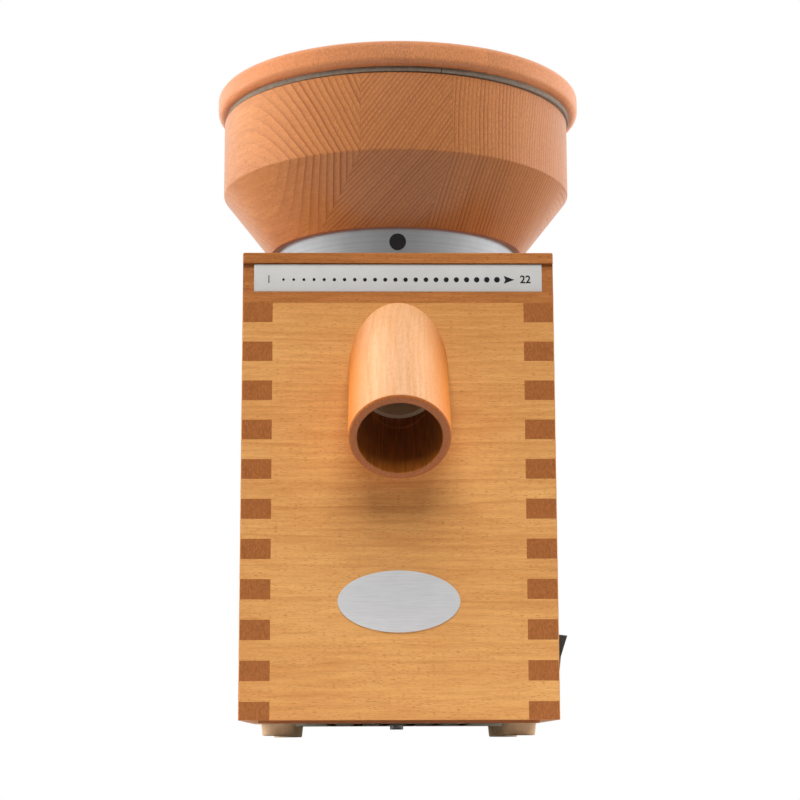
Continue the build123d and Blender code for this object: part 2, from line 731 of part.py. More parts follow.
def hopper():
    """The glued and turned beech hopper, with a funnel bowl down to the throat."""
    inner = HOPPER_R - HOPPER_WALL
    bowl_end = HOPPER_BASE + THROAT_LIP
    bowl_top = bowl_end + (inner - FEED_R) * math.tan(math.radians(BOWL_SLOPE))
    body = turned(
        (FEED_R, HOPPER_BASE), (CONE_BASE_R, HOPPER_BASE), (HOPPER_R, CREASE), (HOPPER_R, RIM),
        (inner, RIM), (inner, bowl_top), (FEED_R, bowl_end),
    )
    rim_edges = body.edges().filter_by(GeomType.CIRCLE).group_by(Axis.Z)[-1]
    body = fillet(rim_edges, RIM_ROUND)
    for place in around(HOPPER_SCREW_CIRCLE_R, 6):
        body -= place * hopper_screw(FIT)
    return body


def hopper_screws():
    """Screws through the holder and the ring into the hopper."""
    places = around(HOPPER_SCREW_CIRCLE_R, 6)
    return Compound([place * hopper_screw() for place in places])


def lid():
    """The beech lid, with a disc below that centres it in the hopper."""
    plate = disc(LID_R, LID_BOTTOM, LID_TOP)
    plate = fillet(plate.edges().filter_by(GeomType.CIRCLE), LID_ROUND)
    plate += disc(HOPPER_R - HOPPER_WALL - LID_PLAY, LID_BOTTOM - LID_SPIGOT, LID_BOTTOM)
    return Pos(LID_OFFSET, 0, 0) * plate


def lid_felt():
    """The felt strip glued under the lid, with a butt joint in its front."""
    inner = HOPPER_R - HOPPER_WALL - LID_PLAY + FIT
    low = LID_BOTTOM - LID_FELT
    half = LID_FELT_SEAM / 2
    strip = ring(HOPPER_R, inner, low, LID_BOTTOM)
    seam = block(inner - 1, HOPPER_R + 1, -half, half, low, LID_BOTTOM)
    strip -= Rot(0, 0, -90 + LID_FELT_SEAM_TURN) * seam
    return Pos(LID_OFFSET, 0, 0) * strip


# ---- Motor: fixed parts ------------------------------------------------------------------

def motor_plate():
    """The steel plate on the corner blocks, which carries the motor."""
    half_x = INNER_WIDTH - SLIDE_GAP
    half_y = INNER_DEPTH - SLIDE_GAP
    plate = block(-half_x, half_x, -half_y, half_y, PLATE_BOTTOM, PLATE_TOP)
    plate -= slanted(CHUTE_R + 3 * SLIDE_GAP, -2 * SPOUT_R, SPOUT_R)
    plate -= disc(BEARING_R, PLATE_BOTTOM, PLATE_TOP)
    for place in around(BOLT_CIRCLE_R, 4, 45):
        plate -= place * disc(BOLT_R + FIT, PLATE_BOTTOM, PLATE_TOP)
    for place in corners(BLOCK_X, BLOCK_Y):
        plate -= place * plate_screw(FIT)
    return plate


def plate_screws():
    """Screws that hold the motor plate on the corner blocks."""
    return Compound([place * plate_screw() for place in corners(BLOCK_X, BLOCK_Y)])


def end_bell():
    """A cast end bell with its open side down, at the height of the upper one."""
    bell = turned(
        (COLLAR_R + SLIDE_GAP, BELL_TOP), (MOTOR_R, BELL_TOP), (MOTOR_R, STACK_TOP),
        (MOTOR_R - BELL_WALL, STACK_TOP), (MOTOR_R - BELL_WALL, BELL_TOP - BELL_DISC),
        (BEARING_R + BELL_WALL, BELL_TOP - BELL_DISC), (BEARING_R + BELL_WALL, UPPER_BEARING_BOTTOM),
        (BEARING_R + RUNNING, UPPER_BEARING_BOTTOM), (BEARING_R + RUNNING, UPPER_BEARING_TOP),
        (COLLAR_R + SLIDE_GAP, UPPER_BEARING_TOP),
    )
    for place in around(BOLT_CIRCLE_R, 4, 45):
        bell += place * disc(2 * BOLT_R, STACK_TOP, BELL_TOP)
    bell = bell & disc(MOTOR_R, STACK_TOP, BELL_TOP)
    for place in around(BOLT_CIRCLE_R, 4, 45):
        bell -= place * disc(BOLT_R + FIT, STACK_TOP, BELL_TOP)
    sill = STACK_TOP + BELL_WALL
    half = WINDOW_WIDE / 2
    window = block(-2 * BELL_WALL, BELL_WALL, -half, half, sill, sill + WINDOW_HIGH)
    for place in around(MOTOR_R, 4):
        bell -= place * window
    return bell


def upper_end_bell():
    return end_bell()


def lower_end_bell():
    middle = (STACK_TOP + STACK_BOTTOM) / 2
    return mirror(end_bell(), Plane.XY.offset(middle))


def stator_core():
    """The laminated iron core, with slots that open to the rotor by a narrow gap."""
    core = ring(MOTOR_R, ROTOR_R + ROTOR_GAP, STACK_BOTTOM, STACK_TOP)
    half = STATOR_SLOT_WIDTH / 2
    inner = ROTOR_R + ROTOR_GAP + STATOR_TOOTH
    slot = block(inner, STATOR_SLOT_R, -half, half, STACK_BOTTOM, STACK_TOP)
    half = SLOT_MOUTH / 2
    mouth = block(ROTOR_R, ROTOR_R + 2 * STATOR_TOOTH, -half, half, STACK_BOTTOM, STACK_TOP)
    for place in around(0, STATOR_SLOTS):
        core -= place * (slot + mouth)
    for place in around(BOLT_CIRCLE_R, 4, 45):
        core -= place * disc(BOLT_R + FIT, STACK_BOTTOM, STACK_TOP)
    return core


def stator_windings():
    """The copper windings: wire in every slot, and the end turns above and below."""
    inner = ROTOR_R + ROTOR_GAP + STATOR_TOOTH + SOFT_GAP
    outer = STATOR_SLOT_R - SOFT_GAP
    coil = ring(outer, inner, STACK_TOP + SOFT_GAP, STACK_TOP + END_TURNS)
    coil = fillet(coil.edges().filter_by(GeomType.CIRCLE).group_by(Axis.Z)[-1], END_TURNS / 4)
    low_coil = mirror(coil, Plane.XY.offset((STACK_TOP + STACK_BOTTOM) / 2))
    windings = coil + low_coil
    half = STATOR_SLOT_WIDTH / 2 - SOFT_GAP
    bar = block(
        inner + SOFT_GAP, outer - SOFT_GAP, -half, half,
        STACK_BOTTOM - 2 * SOFT_GAP, STACK_TOP + 2 * SOFT_GAP,
    )
    for place in around(0, STATOR_SLOTS):
        windings += place * bar
    return windings


def motor_bolts():
    """Long bolts through plate, bells and core, each with its nut."""
    nut_bottom = BELL_BOTTOM - BOLT_NUT
    bolt = disc(BOLT_R, nut_bottom - BOLT_END, PLATE_TOP)
    bolt += disc(BOLT_HEAD_R, PLATE_TOP, PLATE_TOP + BOLT_HEAD)
    bolt += extrude(Pos(0, 0, nut_bottom) * RegularPolygon(BOLT_HEAD_R, 6), BOLT_NUT)
    return Compound([place * bolt for place in around(BOLT_CIRCLE_R, 4, 45)])


def bearing_outer(bottom):
    """The outer ring of a sealed ball bearing with its seals."""
    return ring(BEARING_R, BEARING_SPLIT_R + RUNNING, bottom, bottom + BEARING_WIDTH)


def bearing_inner(bottom):
    """The inner ring of a sealed ball bearing."""
    return ring(BEARING_SPLIT_R, BEARING_SHAFT_R + FIT / 2, bottom, bottom + BEARING_WIDTH)


# ---- Motor: turning parts ----------------------------------------------------------------

def motor_shaft():
    """The stepped shaft from the fan up to the nut of the stone carrier."""
    shaft = disc(BEARING_SHAFT_R, SHAFT_BOTTOM, UPPER_BEARING_TOP)
    shaft += disc(ROTOR_SHAFT_R, LOWER_BEARING_TOP, UPPER_BEARING_BOTTOM)
    shaft += disc(COLLAR_R, UPPER_BEARING_TOP, COLLAR_TOP)
    shaft += disc(TOP_SHAFT_R, COLLAR_TOP, SPIGOT_TOP)
    shaft += disc(THREAD_END_R, SPIGOT_TOP, SHAFT_TOP)
    hole = Rot(0, 90, 0) * disc(PIN_R + FIT / 4, -HUB_R, HUB_R)
    return shaft - Pos(0, 0, PIN_HEIGHT) * hole


def rotor_core():
    """The squirrel-cage rotor with its cast end rings."""
    low = STACK_BOTTOM + ROTOR_SHORTER
    high = STACK_TOP - ROTOR_SHORTER
    core = ring(ROTOR_R, ROTOR_SHAFT_R + FIT / 2, low, high)
    core += ring(ROTOR_R - SLIDE_GAP, ROTOR_R - END_RING_WIDE, high, high + END_RING)
    return core + ring(ROTOR_R - SLIDE_GAP, ROTOR_R - END_RING_WIDE, low - END_RING, low)


def cooling_fan():
    """The plastic fan on the lower end of the shaft."""
    fan = disc(FAN_R, FAN_TOP - FAN_DISC, FAN_TOP)
    fan += disc(FAN_HUB_R, FAN_BOTTOM, FAN_TOP)
    half = FAN_BLADE / 2
    blade = block(BEARING_SHAFT_R + half, FAN_R - half, -half, half, FAN_BOTTOM, FAN_TOP - half)
    for place in around(0, FAN_BLADES, 180 / FAN_BLADES):
        fan += place * blade
    return fan - disc(BEARING_SHAFT_R + FIT / 2, FAN_BOTTOM, FAN_TOP)


def drive_pin():
    """The cross pin that turns the stone carrier."""
    half = HUB_R - 2 * SLIDE_GAP
    return Pos(0, 0, PIN_HEIGHT) * Rot(0, 90, 0) * disc(PIN_R, -half, half)


def carrier_nut():
    """The washer and nut on the shaft's end, which stop the carrier's upward float."""
    outline = RegularPolygon(NUT_ACROSS / 2, 6, major_radius=False)
    nut = extrude(Pos(0, 0, NUT_BOTTOM) * outline, NUT_HEIGHT)
    nut += disc(RUNNER_EYE_R - 2 * SLIDE_GAP, NUT_BOTTOM, NUT_BOTTOM + WASHER)
    return nut - disc(THREAD_END_R + FIT / 2, NUT_BOTTOM, NUT_BOTTOM + NUT_HEIGHT)


def carrier_spring():
    """The coil spring that presses the carrier and its stone upwards."""
    bottom = COLLAR_TOP + SPRING_WIRE_R + FIT
    rise = HUB_BOTTOM - SPRING_WIRE_R - FIT - bottom
    path = Helix(rise / SPRING_TURNS, rise, SPRING_R)
    section = Plane(origin=path @ 0, z_dir=path % 0) * Circle(SPRING_WIRE_R)
    return Pos(0, 0, bottom) * sweep(section, path, is_frenet=True)


# ---- Electrical parts --------------------------------------------------------------------

def capacitor():
    """The run capacitor, lying along X in its clamp, with two tags at its right end."""
    can = Rot(0, 90, 0) * disc(CAPACITOR_R, -CAPACITOR_LENGTH / 2, CAPACITOR_LENGTH / 2)
    can = fillet(can.edges().filter_by(GeomType.CIRCLE), CAN_ROUND)
    end = CAPACITOR_LENGTH / 2
    for side in (-TAG_SPREAD, TAG_SPREAD):
        can += block(
            end, end + TAG_LENGTH, side - TAG_SHEET / 2, side + TAG_SHEET / 2, -TAG_WIDE / 2, TAG_WIDE / 2
        )
    return Pos(CAPACITOR_PLACE) * can


def capacitor_clamp():
    """The steel band round the capacitor, with a foot on the base sheet."""
    low = -CLAMP_OUTER_R
    reach = CLAMP_OUTER_R + 2 * SCREW_HEAD_R + 2 * SLIDE_GAP
    across = Rot(0, 90, 0)
    band = across * disc(CLAMP_OUTER_R, -CLAMP_WIDTH / 2, CLAMP_WIDTH / 2)
    band += block(-CLAMP_WIDTH / 2, CLAMP_WIDTH / 2, -reach, 0, low, low + CLAMP_SHEET)
    band -= across * disc(CAPACITOR_R + FIT, -CLAMP_WIDTH, CLAMP_WIDTH)
    band = Pos(CAPACITOR_PLACE) * band
    return band - CLAMP_SCREW_PLACE * disc(SCREW_R + FIT, FOOT_HEIGHT, CABINET_BOTTOM + CLAMP_SHEET)


def clamp_screw():
    """The screw from below and the nut that hold the clamp on the base sheet."""
    top = CABINET_BOTTOM + CLAMP_SHEET
    screw = disc(SCREW_HEAD_R, FOOT_HEIGHT - SCREW_HEAD, FOOT_HEIGHT)
    screw += disc(SCREW_R, FOOT_HEIGHT, top + 2 * SCREW_HEAD)
    screw += extrude(Pos(0, 0, top) * RegularPolygon(SCREW_HEAD_R, 6), SCREW_HEAD)
    return CLAMP_SCREW_PLACE * screw


def terminal_block():
    """The row of screw terminals on the left wall, where the leads meet."""
    low = CABINET_BOTTOM + TERMINAL_UP
    wall = -INNER_WIDTH
    body = block(
        wall, wall + TERMINAL_DEPTH, -TERMINAL_LENGTH / 2, TERMINAL_LENGTH / 2,
        low, low + TERMINAL_HEIGHT,
    )
    pitch = TERMINAL_LENGTH / TERMINAL_WAYS
    for i in range(TERMINAL_WAYS):
        y = (i - (TERMINAL_WAYS - 1) / 2) * pitch
        body -= Pos(wall + TERMINAL_DEPTH / 2, y, 0) * disc(LEAD_R + FIT, low, low + TERMINAL_HEIGHT)
    return body


def switch_body():
    """The switch housing, clipped into the right panel with its bezel outside."""
    half_wide = SWITCH_WIDE / 2
    half_long = SWITCH_LONG / 2
    body = block(-SWITCH_DEEP, 0, -half_wide, half_wide, -half_long, half_long)
    body += block(
        0, BEZEL, -half_wide - BEZEL_EDGE, half_wide + BEZEL_EDGE,
        -half_long - BEZEL_EDGE, half_long + BEZEL_EDGE,
    )
    body = fillet(body.faces().sort_by(Axis.X)[-1].edges(), EDGE_ROUND)
    well = ROCKER_WIDE / 2 + SOFT_GAP
    body -= block(-WELL_DEEP, BEZEL, -well, well, -WELL_HALF, WELL_HALF)
    barrel = Rot(90, 0, 0) * disc(ROCKER_PIN_R + RUNNING, -half_wide + SLIDE_GAP, half_wide - SLIDE_GAP)
    body -= Pos(-ROCKER_SINK, 0, 0) * barrel
    tag = block(
        -SWITCH_DEEP - TAG_LENGTH, -SWITCH_DEEP, -TAG_WIDE / 2, TAG_WIDE / 2, -TAG_SHEET / 2, TAG_SHEET / 2
    )
    for y in (-half_wide / 2, half_wide / 2):
        for z in (-half_long / 2, half_long / 2):
            body += Pos(0, y, z) * tag
    return Pos(SWITCH_PLACE) * body


def rocker():
    """The rocker of the switch, pressed in at its lower end: switched off."""
    tip = ROCKER_RISE + ROCKER_HALF * math.tan(math.radians(ROCKER_HOLLOW))
    side = [
        (-ROCKER_PIN_R, -ROCKER_HALF + EDGE_ROUND), (tip, -ROCKER_HALF), (ROCKER_RISE, 0),
        (tip, ROCKER_HALF), (-ROCKER_PIN_R, ROCKER_HALF - EDGE_ROUND),
    ]
    profile = Plane.XZ * make_face(Polyline(*side, close=True))
    body = extrude(profile, ROCKER_WIDE / 2, both=True)
    half_pin = SWITCH_WIDE / 2 - 2 * SLIDE_GAP
    body += Rot(90, 0, 0) * disc(ROCKER_PIN_R, -half_pin, half_pin)
    return Pos(SWITCH_PLACE) * Pos(-ROCKER_SINK, 0, 0) * Rot(0, ROCKER_TILT, 0) * body


def cord_gland():
    """The threaded bush in the back panel through which the mains cord enters."""
    bush = disc(GLAND_R, INNER_DEPTH - GLAND_NUT, HALF_DEPTH)
    bush += disc(GLAND_FLANGE_R, HALF_DEPTH, HALF_DEPTH + GLAND_FLANGE)
    bush = fillet(bush.edges().filter_by(GeomType.CIRCLE).sort_by(Axis.Z)[-1], EDGE_ROUND)
    bush -= disc(GLAND_BORE_R, INNER_DEPTH - GLAND_NUT, HALF_DEPTH + GLAND_FLANGE)
    return Pos(GLAND_PLACE.X, 0, GLAND_PLACE.Z) * Rot(-90, 0, 0) * bush


def gland_nut():
    """The nut that holds the gland from inside."""
    nut = extrude(Pos(0, 0, INNER_DEPTH - GLAND_NUT) * RegularPolygon(GLAND_FLANGE_R, 6), GLAND_NUT)
    nut -= disc(GLAND_R + FIT / 2, INNER_DEPTH - GLAND_NUT, INNER_DEPTH)
    return Pos(GLAND_PLACE.X, 0, GLAND_PLACE.Z) * Rot(-90, 0, 0) * nut


# ---- Export ------------------------------------------------------------------------------

NODES = {
    "front_panel": front_panel(),
    "back_panel": back_panel(),
    "left_panel": left_panel(),
    "right_panel": right_panel(),
    "top_board": top_board(),
    "corner_blocks": corner_blocks(),
    "base_plate": base_plate(),
    "foot_front_left": foot(-1, -1),
    "foot_front_right": foot(1, -1),
    "foot_back_left": foot(-1, 1),
    "foot_back_right": foot(1, 1),
    "foot_screws": foot_screws(),
    "scale_strip": scale_strip(),
    "name_plate": name_plate(),
    "spout": spout(),
    "flour_chute": flour_chute(),
    "chamber_pot": chamber_pot(),
    "pot_screws": pot_screws(),
    "shaft_seal": shaft_seal(),
    "thread_insert": thread_insert(),
    "insert_screws": insert_screws(),
    "motor_plate": motor_plate(),
    "plate_screws": plate_screws(),
    "upper_end_bell": upper_end_bell(),
    "lower_end_bell": lower_end_bell(),
    "stator_core": stator_core(),
    "stator_windings": stator_windings(),
    "motor_bolts": motor_bolts(),
    "upper_bearing_outer": bearing_outer(UPPER_BEARING_BOTTOM),
    "lower_bearing_outer": bearing_outer(LOWER_BEARING_BOTTOM),
    "capacitor": capacitor(),
    "capacitor_clamp": capacitor_clamp(),
    "clamp_screw": clamp_screw(),
    "terminal_block": terminal_block(),
    "switch_body": switch_body(),
    "cord_gland": cord_gland(),
    "gland_nut": gland_nut(),
    "thread_felt": thread_felt(),
    "hopper": hopper(),
    "hopper_ring": hopper_ring(),
    "pointer_plug": pointer_plug(),
    "stone_holder": stone_holder(),
    "fixed_stone": fixed_stone(),
    "hopper_screws": hopper_screws(),
    "lid": lid(),
    "lid_felt": lid_felt(),
    "motor_shaft": motor_shaft(),
    "rotor_core": rotor_core(),
    "cooling_fan": cooling_fan(),
    "upper_bearing_inner": bearing_inner(UPPER_BEARING_BOTTOM),
    "lower_bearing_inner": bearing_inner(LOWER_BEARING_BOTTOM),
    "drive_pin": drive_pin(),
    "carrier_nut": carrier_nut(),
    "runner_stone": runner_stone(),
    "stone_carrier": stone_carrier(),
    "wiper_blades": wiper_blades(),
    "carrier_spring": carrier_spring(),
    "rocker": rocker(),
}

os.makedirs("parts", exist_ok=True)
for name, shape in NODES.items():
    export_step(Pos(-ORIGIN) * shape, f"parts/{name}.step")
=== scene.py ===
import bmesh
import bpy
import json
import math
from mathutils import Matrix, Vector, noise


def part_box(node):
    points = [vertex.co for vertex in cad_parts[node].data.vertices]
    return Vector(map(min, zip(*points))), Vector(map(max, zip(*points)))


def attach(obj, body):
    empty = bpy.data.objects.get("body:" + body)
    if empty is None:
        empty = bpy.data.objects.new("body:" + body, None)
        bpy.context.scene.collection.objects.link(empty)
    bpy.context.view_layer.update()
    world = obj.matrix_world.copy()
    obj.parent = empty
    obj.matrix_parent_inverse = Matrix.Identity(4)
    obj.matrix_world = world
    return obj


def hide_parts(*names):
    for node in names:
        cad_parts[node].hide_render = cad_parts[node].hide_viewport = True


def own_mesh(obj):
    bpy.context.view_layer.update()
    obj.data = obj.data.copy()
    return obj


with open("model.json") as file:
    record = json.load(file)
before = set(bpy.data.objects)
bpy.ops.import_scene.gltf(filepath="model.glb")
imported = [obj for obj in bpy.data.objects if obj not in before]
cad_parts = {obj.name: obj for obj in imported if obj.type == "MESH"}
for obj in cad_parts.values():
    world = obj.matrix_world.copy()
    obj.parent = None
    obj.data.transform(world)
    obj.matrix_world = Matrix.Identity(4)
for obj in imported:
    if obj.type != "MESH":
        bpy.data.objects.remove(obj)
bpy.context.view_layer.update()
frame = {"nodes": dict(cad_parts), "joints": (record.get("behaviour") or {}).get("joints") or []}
nodes = frame["nodes"]
scene = bpy.context.scene
scene.view_settings.view_transform = "Standard"

# ---- Camera ------------------------------------------------------------------------------
# A long lens a metre in front of the mill, just below the height of the table top and tilted
# up, a little left of the middle.
LENS_PIXELS, PICTURE_PIXELS = 1988.72, 800
EYE = (-0.01571, -1.01956, -0.00665)
YAW, TILT, ROLL = -0.91, 9.966, -0.16

lens = bpy.data.cameras.new("camera")
lens.lens = lens.sensor_width * LENS_PIXELS / PICTURE_PIXELS
lens.clip_start = 0.01
camera = bpy.data.objects.new("camera", lens)
scene.collection.objects.link(camera)
aim = Matrix.Rotation(math.radians(YAW), 4, "Z") @ Matrix.Rotation(math.radians(90 + TILT), 4, "X")
camera.matrix_world = Matrix.Translation(EYE) @ aim @ Matrix.Rotation(math.radians(ROLL), 4, "Z")
scene.camera = camera


# ---- Studio ------------------------------------------------------------------------------
# A white room that is dimmer on the camera's side, a pale floor that is seen from above only,
# and soft boxes left, right and above the front, which leave no glints.

def add(tree, kind, *feeds, out=0, **settings):
    """A new node whose sockets are fed in order, by a link or a value.  Gives one output."""
    node = tree.nodes.new(kind)
    for key, value in settings.items():
        setattr(node, key, value)
    for socket, feed in zip(node.inputs, feeds):
        if isinstance(feed, bpy.types.NodeSocket):
            tree.links.new(feed, socket)
        elif feed is not None:
            socket.default_value = feed
    return node.outputs[out]


def spread(tree, value, low, high, to_low=0.0, to_high=1.0):
    """The value's range from low to high, stretched to another range and held at its ends."""
    return add(tree, "ShaderNodeMapRange", value, low, high, to_low, to_high)


def sums(tree, way, *feeds):
    """One step of arithmetic."""
    return add(tree, "ShaderNodeMath", *feeds, operation=way)


# How bright the room is for plain and for shiny surfaces, each with the share that is left of it
# on the camera's side, and where along the view that share ends and the full light starts.
ROOM, ROOM_FRONT_SHARE = 0.40, 0.28
GLOSS, GLOSS_FRONT_SHARE = 1.0, 0.27
FRONT_ENDS, BACK_STARTS = -1.0, 0.2

# The floor throws back this much of its light near the mill and far from it, between these two
# distances.
FLOOR_HALF = 1.2
FLOOR_DARK, FLOOR_LIGHT = 0.62, 0.65
BOUNCE_NEAR, BOUNCE_FAR = 1.22, 0.24
BOUNCE_FROM, BOUNCE_TO = 0.16, 0.42
LAMPS_AIM = Vector((0, 0, 0.2))
SQUARE = ((-1, -1), (1, -1), (1, 1), (-1, 1))

world = bpy.data.worlds.new("studio")
world.use_nodes = True
scene.world = world
sky = world.node_tree
sky.nodes.clear()
depth = add(sky, "ShaderNodeSeparateXYZ", add(sky, "ShaderNodeTexCoord"), out=1)
rays = sky.nodes.new("ShaderNodeLightPath").outputs
seen = sums(sky, "MAXIMUM", rays["Is Camera Ray"], rays["Is Transmission Ray"])
room = add(sky, "ShaderNodeMix", rays["Is Glossy Ray"], None, *(
    spread(sky, depth, FRONT_ENDS, BACK_STARTS, share * level, level)
    for level, share in ((ROOM, ROOM_FRONT_SHARE), (GLOSS, GLOSS_FRONT_SHARE))
))
white = add(sky, "ShaderNodeBackground", (1, 1, 1, 1), sums(sky, "MAXIMUM", seen, room))
sky.links.new(white, sky.nodes.new("ShaderNodeOutputWorld").inputs[0])

mesh = bpy.data.meshes.new("floor")
mesh.from_pydata([(x * FLOOR_HALF, y * FLOOR_HALF, 0) for x, y in SQUARE], [], [range(4)])
floor = bpy.data.objects.new("floor", mesh)
scene.collection.objects.link(floor)
paint = bpy.data.materials.new("floor paint")
paint.use_nodes = True
tree = paint.node_tree
tree.nodes.clear()
place = add(tree, "ShaderNodeTexCoord", out=3)
patches = add(tree, "ShaderNodeTexNoise", place, None, 3.0, 2.0)
shown = spread(tree, patches, 0.3, 0.7, FLOOR_DARK, FLOOR_LIGHT)
far = add(tree, "ShaderNodeVectorMath", place, out=1, operation="LENGTH")
bounce = spread(tree, far, BOUNCE_FROM, BOUNCE_TO, BOUNCE_NEAR, BOUNCE_FAR)
rays = tree.nodes.new("ShaderNodeLightPath").outputs
level = add(tree, "ShaderNodeMix", rays["Is Camera Ray"], None, sums(tree, "MULTIPLY", shown, bounce), shown)
pale = add(tree, "ShaderNodeBsdfDiffuse", level)
below = tree.nodes.new("ShaderNodeNewGeometry").outputs["Backfacing"]
both = add(tree, "ShaderNodeMixShader", below, pale, add(tree, "ShaderNodeBsdfTransparent"))
tree.links.new(both, tree.nodes.new("ShaderNodeOutputMaterial").inputs[0])
mesh.materials.append(paint)

for name, place, size, power in (
    ("left soft box", (-1.4, 0.2, 0.10), 1.0, 44),
    ("right soft box", (1.3, 0.42, 0.10), 1.0, 39),
    ("front top soft box", (0.0, -1.1, 1.2), 0.9, 19),
):
    lamp = bpy.data.lights.new(name, "AREA")
    lamp.size = size
    lamp.energy = power
    box = bpy.data.objects.new(name, lamp)
    box.location = place
    box.rotation_euler = (LAMPS_AIM - Vector(place)).to_track_quat("-Z", "Y").to_euler()
    box.visible_glossy = False
    scene.collection.objects.link(box)


# ---- Cabinet boards ----------------------------------------------------------------------
# Four boards of solid beech, planed and oiled, with the fibre lying level.  They are
# finger-jointed, so each corner shows side grain and the darker end grain in turn.

def tone(red, green, blue):
    """A colour from its screen values of 0 to 255."""
    def linear(value):
        value /= 255
        return value / 12.92 if value <= 0.04045 else ((value + 0.055) / 1.055) ** 2.4
    return linear(red), linear(green), linear(blue), 1


def shade(colour, factor):
    """The colour made darker or lighter."""
    return tuple(factor * value for value in colour[:3]) + (1,)


def mixed(tree, factor, first, second):
    """Two colours mixed by a factor."""
    return add(tree, "ShaderNodeMix", factor, *[None] * 5, first, second, out=2, data_type="RGBA")


def vector_sums(tree, way, *feeds, out=0):
    """One step of arithmetic with vectors."""
    return add(tree, "ShaderNodeVectorMath", *feeds, out=out, operation=way)


def cloud(tree, place, scale, detail=2.0, rough=0.6):
    """Soft noise with this many lumps in each unit of the place, along each axis."""
    where = vector_sums(tree, "MULTIPLY", place, scale)
    return add(tree, "ShaderNodeTexNoise", where, None, 1.0, detail, rough)


def new_material(name):
    """A material with its tree and its shader."""
    material = bpy.data.materials.new(name)
    material.use_nodes = True
    return material, material.node_tree, material.node_tree.nodes["Principled BSDF"]


def dress(material, *names):
    """Gives the material to these CAD nodes."""
    for name in names:
        slots = nodes[name].data.materials
        slots.clear()
        slots.append(material)


def glued_up(tree, across, boards):
    """The heart, ring width and tint of the board at a place across the fibre, and its glue lines."""
    own = boards[0][1:]
    seam = 0.0
    for edge, *other in boards[1:]:
        past = sums(tree, "GREATER_THAN", across, edge)
        own = [add(tree, "ShaderNodeMix", past, None, old, new) for old, new in zip(own, other)]
        near = sums(tree, "ABSOLUTE", sums(tree, "SUBTRACT", across, edge))
        seam = sums(tree, "MAXIMUM", seam, spread(tree, near, 0.05, 0.25, 0.35, 0.0))
    return *own, seam


def bored(tree, place, wood, axis_place, axis_way, radius):
    """The wood with painted shade, a darker brown, on the wall of a bore in it."""
    out = vector_sums(tree, "SUBTRACT", place, tuple(axis_place))
    out = vector_sums(tree, "LENGTH", vector_sums(tree, "CROSS_PRODUCT", out, tuple(axis_way)), out=1)
    # Painted shade: darker brown on the bore's wall and a thin margin past it.
    bore_shade_mask = spread(tree, out, radius, radius + BORE_SHADE_MARGIN, 1.0, 0.0)
    grain = spread(tree, cloud(tree, place, (1400, 60, 60)), 0.35, 0.65)
    return mixed(tree, bore_shade_mask, wood, mixed(tree, grain, PAINTED_BORE_SHADE, shade(PAINTED_BORE_SHADE, 0.55)))


